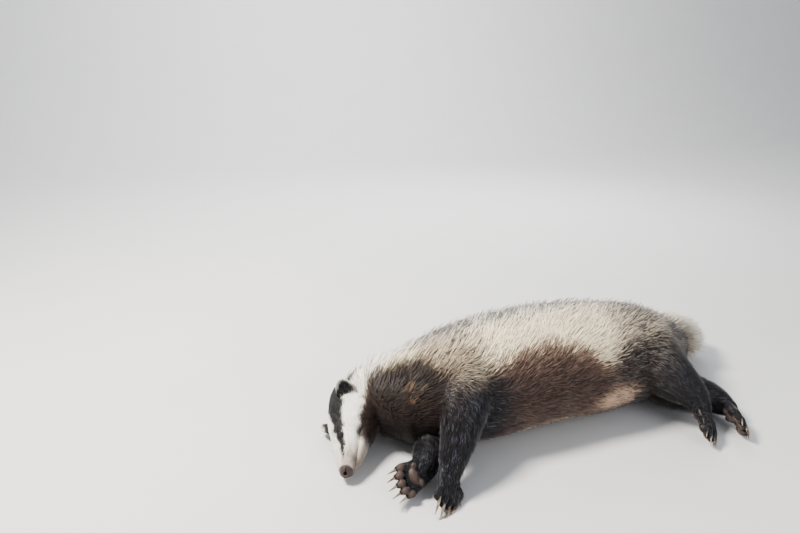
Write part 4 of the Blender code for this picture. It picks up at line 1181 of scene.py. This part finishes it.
def followed(tree, coat, steps, draw):
    """The middle line of each tuft: points that walk over the skin along its lie, and the normals there."""
    count = len(coat.points)
    length = coat.length * draw.uniform(0.72, 1.18, count)
    lift = coat.lift * draw.uniform(0.55, 1.15, count)
    lift *= np.where(draw.random(count) < STRAY_SHARE, STRAY_LIFT, 1.0)
    x, y, z = coat.points.T
    wander = 0.13 * np.sin(x * 58 + z * 41 + 2) + draw.normal(0, 0.13, count) * (1 + coat.free)
    sway = unit(np.cross(coat.normals, coat.lie)) * wander[:, None]
    way = unit(coat.lie + sway)
    straight = way.copy()
    point, normal = coat.points.copy(), coat.normals.copy()
    line, normals = [point - normal * 0.0006], [normal]
    before = 0.0
    for share in steps:
        ahead = point + way * (length * (share - before))[:, None]
        for i in range(count):
            found = tree.find_nearest(ahead[i])
            point[i] = found[0]
            normal[i] = found[1]
        way = unit(way - normal * (way * normal).sum(1)[:, None])
        rise = share ** 0.8
        laid = point + normal * (lift * rise)[:, None]
        stiff = coat.points + (straight * share - UP_ARRAY * 0.10 * share ** 2) * length[:, None]
        line.append(laid + (stiff - laid) * coat.free[:, None])
        normals.append(unit(normal + (coat.normals + 0.6 * UP_ARRAY - normal) * coat.free[:, None]))
        before = share
    return np.array(line), np.array(normals), way


def gathered(line, coat, draw, spacing, pull):
    """Draws the tips of neighbouring tufts together into locks."""
    count = len(coat.points)
    heads = draw.random(count) < (coat.width.mean() / spacing) ** 2
    chosen = np.flatnonzero(heads)
    tree = KDTree(len(chosen))
    for k, i in enumerate(chosen):
        tree.insert(coat.points[i], k)
    tree.balance()
    nearest = np.array([tree.find(point)[1] for point in coat.points])
    leader = chosen[nearest]
    strength = pull * draw.uniform(0.4, 1.0, count)
    for k in range(1, len(line)):
        share = (k / (len(line) - 1)) ** 1.6
        line[k] += (line[k][leader] - line[k]) * (strength * share)[:, None] * np.array((1, 1, 1))
    return line


def tufts_mesh(name, line, normals, coat, chosen, profile, unwrap):
    """One coat piece: each tuft is a closed spike of three sides, its rings at the points of its line."""
    line, normals = line[:, chosen], normals[:, chosen]
    rings, count = len(line) - 1, len(chosen)
    colours = (coat.base[chosen], coat.band[chosen], coat.tip[chosen])
    width = coat.width[chosen]
    vertices = np.zeros((count, rings * 3 + 1, 3))
    paint = np.zeros((count, rings * 3 + 1, 3))
    shading = np.zeros((count, rings * 3 + 1, 3))
    for r in range(rings):
        tangent = unit(line[r + 1] - line[max(r - 1, 0)])
        side = unit(np.cross(tangent, normals[r]))
        over = np.cross(side, tangent)
        half = (width * profile[r] / 2)[:, None]
        for k, (across, high) in enumerate(((-1, -0.25), (1, -0.25), (0, 0.45))):
            vertices[:, 3 * r + k] = line[r] + side * half * across + over * half * high
            shading[:, 3 * r + k] = unit(normals[r] + 0.30 * side * across + 0.2 * tangent)
        share = r / rings
        paint[:, 3 * r:3 * r + 3] = mixed_colour(colours, share)[:, None, :]
    vertices[:, -1] = line[-1]
    shading[:, -1] = unit(normals[-1] + 0.2 * unit(line[-1] - line[-2]))
    paint[:, -1] = colours[2]
    vertices[:, :, 2] = np.maximum(vertices[:, :, 2], FLOOR_CLEAR * (1 + 2 * (np.arange(rings * 3 + 1) % 3 == 2)))
    faces = [(0, 1, 2)]
    for r in range(rings - 1):
        for k in range(3):
            a, b = 3 * r + k, 3 * r + (k + 1) % 3
            faces += [(a, b + 3, b), (a, a + 3, b + 3)]
    last = 3 * (rings - 1)
    faces += [(last + k, rings * 3, last + (k + 1) % 3) for k in range(3)]
    faces = np.array(faces)
    each = rings * 3 + 1
    corners = (faces[None, :, :] + (np.arange(count) * each)[:, None, None]).reshape(-1)
    mesh = bpy.data.meshes.new(name)
    mesh.vertices.add(count * each)
    mesh.vertices.foreach_set("co", vertices.reshape(-1))
    mesh.loops.add(len(corners))
    mesh.loops.foreach_set("vertex_index", corners.astype(np.int32))
    triangles = len(corners) // 3
    mesh.polygons.add(triangles)
    mesh.polygons.foreach_set("loop_start", np.arange(0, len(corners), 3, dtype=np.int32))
    mesh.update(calc_edges=True)
    colour_attribute(mesh, paint.reshape(-1, 3))
    # A UV map: a small patch for each tuft at its root's place on the unwrapped skin
    patch = np.zeros((each, 2))
    for v in range(each):
        ring, k = (v // 3, v % 3) if v < rings * 3 else (rings, 2)
        patch[v] = (OFBAKE_PATCH * (ring / rings - 0.5), OFBAKE_PATCH * (k / 2 - 0.5))
    flat = (unwrap[:, None, :] + patch[None, :, :]).reshape(-1, 2)[corners]
    layer = mesh.uv_layers.new(name="OFBake")
    layer.data.foreach_set("uv", flat.astype(np.float32).reshape(-1))
    mesh.shade_smooth()
    mesh.normals_split_custom_set_from_vertices(shading.reshape(-1, 3).tolist())
    mesh.validate()
    obj = bpy.data.objects.new(name, mesh)
    bpy.context.scene.collection.objects.link(obj)
    return obj


OFBAKE_PATCH = 0.003
OFBAKE_MARGIN = 0.01


def mixed_colour(colours, share):
    """Root colour to the band at 0.6, then to the tip."""
    base, band, tip = colours
    if share < 0.6:
        return base + (band - base) * (share / 0.6) ** 1.5
    return band + (tip - band) * ((share - 0.6) / 0.4)


def unwrapped(values_u, values_v):
    """Both as shares of their range, inside the margin."""
    made = []
    for values in (values_u, values_v):
        low, high = values.min(), values.max()
        made.append(OFBAKE_MARGIN + (1 - 2 * OFBAKE_MARGIN) * (values - low) / max(high - low, 1e-6))
    return np.stack(made, axis=1)


# Rings of a long tuft and of a short one: shares of the length, and of the width at each ring
LONG_STEPS, LONG_PROFILE = (0.38, 0.74, 1.0), (0.55, 1.0, 0.72)
SHORT_STEPS, SHORT_PROFILE = (0.50, 1.0), (0.75, 1.0)
MOST_TUFTS = {3: 12000, 2: 19000}
MARKS_UNEVEN = 0.0065


def coat_pieces(prefix, skin, tree, tufts_per_area, wanted_regions, steps, profile, slot, material, draw,
                spacing=0.006, pull=0.45, bare=None):
    """Every coat piece of some regions, split so that each holds no more tufts than MOST_TUFTS gives for its kind of
    tuft. Every coat piece of some regions, each under the most triangles that a piece may have.
    """
    names = list(REGIONS)
    wanted = [names.index(name) for name in wanted_regions]

    def in_region(middles, ways):
        return tufts_per_area(middles, ways) * np.isin(nearest_region(middles), wanted)

    points, normals = surface_samples(skin.data, in_region, draw)
    if bare is not None:
        keep = draw.random(len(points)) > bare(points, normals)
        points, normals = points[keep], normals[keep]
    coat = Coat(points, normals, draw, MARKS_UNEVEN)
    line, line_normals, _ = followed(tree, coat, steps, draw)
    line = gathered(line, coat, draw, spacing, pull)
    region = wanted_regions[0]
    along, angle = coat.placed[region][1], coat.placed[region][2]
    most = MOST_TUFTS[len(steps)]
    parts = math.ceil(len(along) / most)
    order = np.argsort(along + draw.uniform(-0.01, 0.01, len(along)), kind="stable")
    made = []
    for k in range(parts):
        chosen = order[k * len(order) // parts:(k + 1) * len(order) // parts]
        unwrap = unwrapped(along[chosen], angle[chosen])
        name = prefix if parts == 1 else f"{prefix}_{k + 1}"
        obj = tufts_mesh(name, line, line_normals, coat, chosen, profile, unwrap)
        obj.data.materials.append(material)
        settled(obj, slot)
        made.append(obj)
    return made


# The floor reaches this far before and behind the animal, then curves up into a wall
STAGE_NEAR, STAGE_FAR, STAGE_WIDTH, STAGE_CURVE, STAGE_HEIGHT = 8, 2.6, 20, 1.6, 7


def whiskers(draw):
    """Stiff hairs on the whisker pads, over the eyes and on the cheeks, each a curved spike of four sides."""
    bm = bmesh.new()
    for side in (LEFT, RIGHT):
        roots = [(0.0165 + 0.004 * (k % 2), 0.018 + 0.0045 * (k // 3), 0.001 - 0.0042 * (k % 3), 0.034)
                 for k in range(9)]
        roots += [(0.020, EYE_BACK + 0.004 * k, 0.0245, 0.020) for k in range(3)]
        roots += [(0.034, 0.082 + 0.006 * k, -0.012, 0.022) for k in range(2)]
        for out, back, high, length in roots:
            length *= draw.uniform(0.8, 1.2)
            way = head_way(side * draw.uniform(0.7, 1.0), draw.uniform(-0.35, 0.1), draw.uniform(-0.25, 0.25))
            bend = head_way(0, -1, draw.uniform(-0.3, 0.2)) * 0.3
            root = on_head(side * out * 0.8, back, high)
            rings = []
            for k in range(6):
                share = k / 5
                middle = root + way * (length * share) + bend * (length * share * share)
                size = 0.00024 * (1 - 0.85 * share)
                across = way.cross(UP).normalized() * size
                over = way.cross(across).normalized() * size
                low = max(FLOOR_CLEAR + size - middle.z, 0)
                middle = middle + UP * low
                rings.append([middle + across, middle + over, middle - across, middle - over])
            loft(bm, rings)
    return new_object("whiskers", bm)


def world_and_floor():
    bm = bmesh.new()
    profile = [(-STAGE_NEAR, 0.0), (STAGE_FAR, 0.0)]
    for k in range(1, 13):
        turn = math.radians(90 * k / 12)
        profile.append((STAGE_FAR + STAGE_CURVE * math.sin(turn), STAGE_CURVE * (1 - math.cos(turn))))
    profile.append((STAGE_FAR + STAGE_CURVE, STAGE_HEIGHT))
    rows = [[bm.verts.new((across * STAGE_WIDTH / 2, y, z)) for across in (-1, 1)] for y, z in profile]
    for first, second in zip(rows, rows[1:]):
        bm.faces.new((first[0], first[1], second[1], second[0]))
    floor = new_object("floor", bm)
    floor.data.shade_smooth()
    made, tree, shader, place = shader_material("floor", 0.85, 0.2)
    grain = ranged(tree, noise(tree, place, 6, 3), 0.70, 0.74)
    combined = node(tree, "ShaderNodeCombineColor", (-350, 0))
    for name in ("Red", "Green", "Blue"):
        tree.links.new(grain, combined.inputs[name])
    tree.links.new(combined.outputs["Color"], shader.inputs["Base Color"])
    floor.data.materials.append(made)
    world = bpy.data.worlds.new("studio")
    bpy.context.scene.world = world
    world.use_nodes = True
    background = world.node_tree.nodes["Background"]
    background.inputs["Color"].default_value = (0.93, 0.95, 1.0, 1)
    background.inputs["Strength"].default_value = 0.50
    bpy.context.scene.view_settings.look = "AgX - Medium High Contrast"


def area_light(name, place, target, size, power, tint=(1, 1, 1)):
    data = bpy.data.lights.new(name, "AREA")
    data.shape = "DISK"
    data.size = size
    data.energy = power
    data.color = tint
    obj = bpy.data.objects.new(name, data)
    bpy.context.scene.collection.objects.link(obj)
    obj.location = Vector(place) + SHIFT
    way = Vector(target) - Vector(place)
    obj.rotation_mode = "QUATERNION"
    obj.rotation_quaternion = way.to_track_quat("-Z", "Y")


def lights():
    area_light("key", (-1.2, 0.1, 1.7), (-0.05, 0, 0.08), 0.55, 66, (1.0, 0.95, 0.87))
    area_light("fill", (0.6, -1.8, 1.1), (0, 0, 0.08), 1.6, 14, (0.93, 0.96, 1.0))
    area_light("rim", (0.9, 1.5, 1.3), (0, 0, 0.1), 1.0, 12)
    area_light("backdrop", (0, 1.6, 2.6), (0, 4.2, 1.2), 2.4, 110)


def camera():
    data = bpy.data.cameras.new("camera")
    data.sensor_width = SENSOR
    data.lens = FOCAL_PIXELS / FRAME_WIDTH * SENSOR
    obj = bpy.data.objects.new("camera", data)
    bpy.context.scene.collection.objects.link(obj)
    tilt = math.atan((FRAME_HEIGHT / 2 - HORIZON_ROW) / FOCAL_PIXELS)
    ahead = Vector((math.sin(CAMERA_TURN), math.cos(CAMERA_TURN), 0))
    right = Vector((ahead.y, -ahead.x, 0))
    obj.location = SHIFT - right * ORIGIN_FROM_CAMERA[0] - ahead * ORIGIN_FROM_CAMERA[1] + UP * CAMERA_HEIGHT
    look = ahead * math.cos(tilt) - UP * math.sin(tilt)
    obj.rotation_mode = "QUATERNION"
    obj.rotation_quaternion = look.to_track_quat("-Z", "Y")
    bpy.context.scene.camera = obj


# Tufts for each square metre
TRUNK_DENSITY = 188000
UNDER_DENSITY = 0.35  # of that, where the body rests on the floor
TAIL_DENSITY = 600000
LEG_DENSITY = 400000
HEAD_DENSITY = 1350000
PAW_DENSITY = 620000
EAR_DENSITY = 1100000


def main():
    draw = np.random.default_rng(SEED)
    share = 1.0
    skin = fused_skin()
    surface = tree_of(skin.data)
    for name, side in (("ear_left", LEFT), ("ear_right", RIGHT)):
        EAR_PLACES[name] = ear_frame(surface, side)
        REGIONS[name] = ear_axis(EAR_PLACES[name])
    eye_places = [eye_frame(surface, side) for side in (LEFT, RIGHT)]
    lids = []
    for place in eye_places:
        bm = bmesh.new()
        radius = EYE_RADIUS + LID
        ball(bm, place, (radius, radius, radius), 18, 28)
        lids.append(new_object("lids", bm))
    boolean(skin, "UNION", [ear(place) for place in EAR_PLACES.values()] + lids)
    mouth, mouth_line = mouth_cutter(surface)
    cutters = [mouth, philtrum_cutter()]
    cutters += [socket_cutter(place) for place in eye_places] + [slit_cutter(place) for place in eye_places]
    for side in (LEFT, RIGHT):
        cutters += nostril_cutters(side)
    boolean(skin, "DIFFERENCE", cutters)
    mesh = skin.data
    places = points_of(mesh)
    places[:, 2] = np.maximum(places[:, 2], FLOOR_CLEAR)
    mesh.vertices.foreach_set("co", places.reshape(-1))
    mesh.update()
    mesh.shade_smooth()
    normals = np.zeros(len(mesh.vertices) * 3)
    mesh.vertices.foreach_get("normal", normals)
    normals = normals.reshape(-1, 3)
    slits = []
    for place in eye_places:
        slits.append([place @ Vector((x * SLIT_LENGTH / 2, EYE_RADIUS, z * SLIT_HEIGHT)) for x, z in almond()])
    lines = [(mouth_line, 0.0022), (slits[0], 0.0024), (slits[1], 0.0024)]
    coat = Coat(places, normals, np.random.default_rng(SEED))
    bare, pads = bare_parts(places, normals, lines)
    paint = blend_to(coat.skin_colour, NOSE, bare)
    lids_near = np.full(len(places), 1.0)
    for slit in slits:
        close = np.flatnonzero(np.linalg.norm(places - np.array(slit[0]), axis=1) < 0.03)
        gaps = np.linalg.norm(places[close][:, None] - np.array(slit)[None], axis=2).min(1)
        lids_near[close] = np.minimum(lids_near[close], gaps)
    paint = blend_to(paint, LID_SKIN, smoothstep(0.0042, 0.0020, lids_near))
    paint = blend_to(paint, PAD, pads)
    colour_attribute(mesh, paint)
    attribute = mesh.attributes.new("Bare", "FLOAT", "POINT")
    attribute.data.foreach_set("value", np.maximum(bare, pads).astype(np.float32))
    mesh.materials.clear()
    mesh.materials.append(skin_material())
    mesh.polygons.foreach_set("material_index", np.zeros(len(mesh.polygons), np.int32))
    tree = tree_of(mesh)

    def naked(points, normals):
        bare_share, pad_share = bare_parts(points, normals, lines)
        return np.maximum(bare_share, pad_share) * 1.6

    def density(base):
        def per_area(middles, ways):
            resting = (middles[:, 2] < 0.004) & (ways[:, 2] < -0.5)
            return base * share * np.where(resting, 0.05, np.where(ways[:, 2] < -0.3, UNDER_DENSITY, 1.0))
        return per_area

    coat_long = coat_material("long_coat", 0.55, 0.15)
    coat_face = coat_material("face_coat", 0.60, 0.10)
    coat_legs = coat_material("leg_coat", 0.42, 0.25)
    coat_tail = coat_material("tail_coat", 0.55, 0.15)
    coat_pieces("coat_trunk", skin, tree, density(TRUNK_DENSITY), ["trunk"], LONG_STEPS, LONG_PROFILE,
                "body_fur", coat_long, draw, 0.0060, 0.42)
    coat_pieces("coat_tail", skin, tree, density(TAIL_DENSITY), ["tail"], LONG_STEPS, LONG_PROFILE,
                "tail_fur", coat_tail, draw, 0.0085, 0.6)
    for name in LEG_AXES:
        coat_pieces("coat_" + name, skin, tree, density(LEG_DENSITY), [name], SHORT_STEPS, SHORT_PROFILE,
                    "leg_fur", coat_legs, draw, 0.006, 0.4)
    for name in PAW_AXES:
        coat_pieces("coat_" + name, skin, tree, density(PAW_DENSITY), [name], SHORT_STEPS, SHORT_PROFILE,
                    "leg_fur", coat_legs, draw, 0.004, 0.3, naked)
    for name in EAR_PLACES:
        coat_pieces("coat_" + name, skin, tree, density(EAR_DENSITY), [name], SHORT_STEPS, SHORT_PROFILE,
                    "ear_fur", coat_face, draw, 0.003, 0.2)
    coat_pieces("coat_head", skin, tree, density(HEAD_DENSITY), ["head"], SHORT_STEPS, SHORT_PROFILE,
                "face_fur", coat_face, draw, 0.004, 0.3, naked)
    settled(skin, "body_fur", "head", "nose", "neck", "torso", "tail", "ear_left", "ear_right", *LEGS,
            *paw_frames())
    stiff = whiskers(draw)
    stiff.data.shade_smooth()
    whisker_horn = horn_material("whisker_horn", colour(30, 27, 27), colour(120, 112, 104))
    stiff.data.materials.append(whisker_horn)
    settled(stiff, "face_fur")
    horn = horn_material("claw_horn", colour(92, 80, 70), colour(176, 160, 138))
    for name, (place, length, width, claw_length, thick) in paw_frames().items():
        obj = claws("claws_" + name, place, length, width, claw_length, thick)
        obj.data.shade_smooth()
        obj.data.materials.append(horn)
        settled(obj, "paw_skin")
    eye, rim = eye_material(), rim_material()
    for name, place in zip(("eye_left", "eye_right"), eye_places):
        bm = bmesh.new()
        ball(bm, place, (EYE_RADIUS, EYE_RADIUS, EYE_RADIUS), 20, 32)
        obj = new_object("eyeball_" + name.split("_")[1], bm)
        obj.data.shade_smooth()
        obj.data.materials.append(eye)
        settled(obj, "eye", name)
        edge = lid_rim("lid_edge_" + name.split("_")[1], place)
        edge.data.shade_smooth()
        edge.data.materials.append(rim)
        settled(edge, "face_fur")
    world_and_floor()
    lights()
    camera()


main()
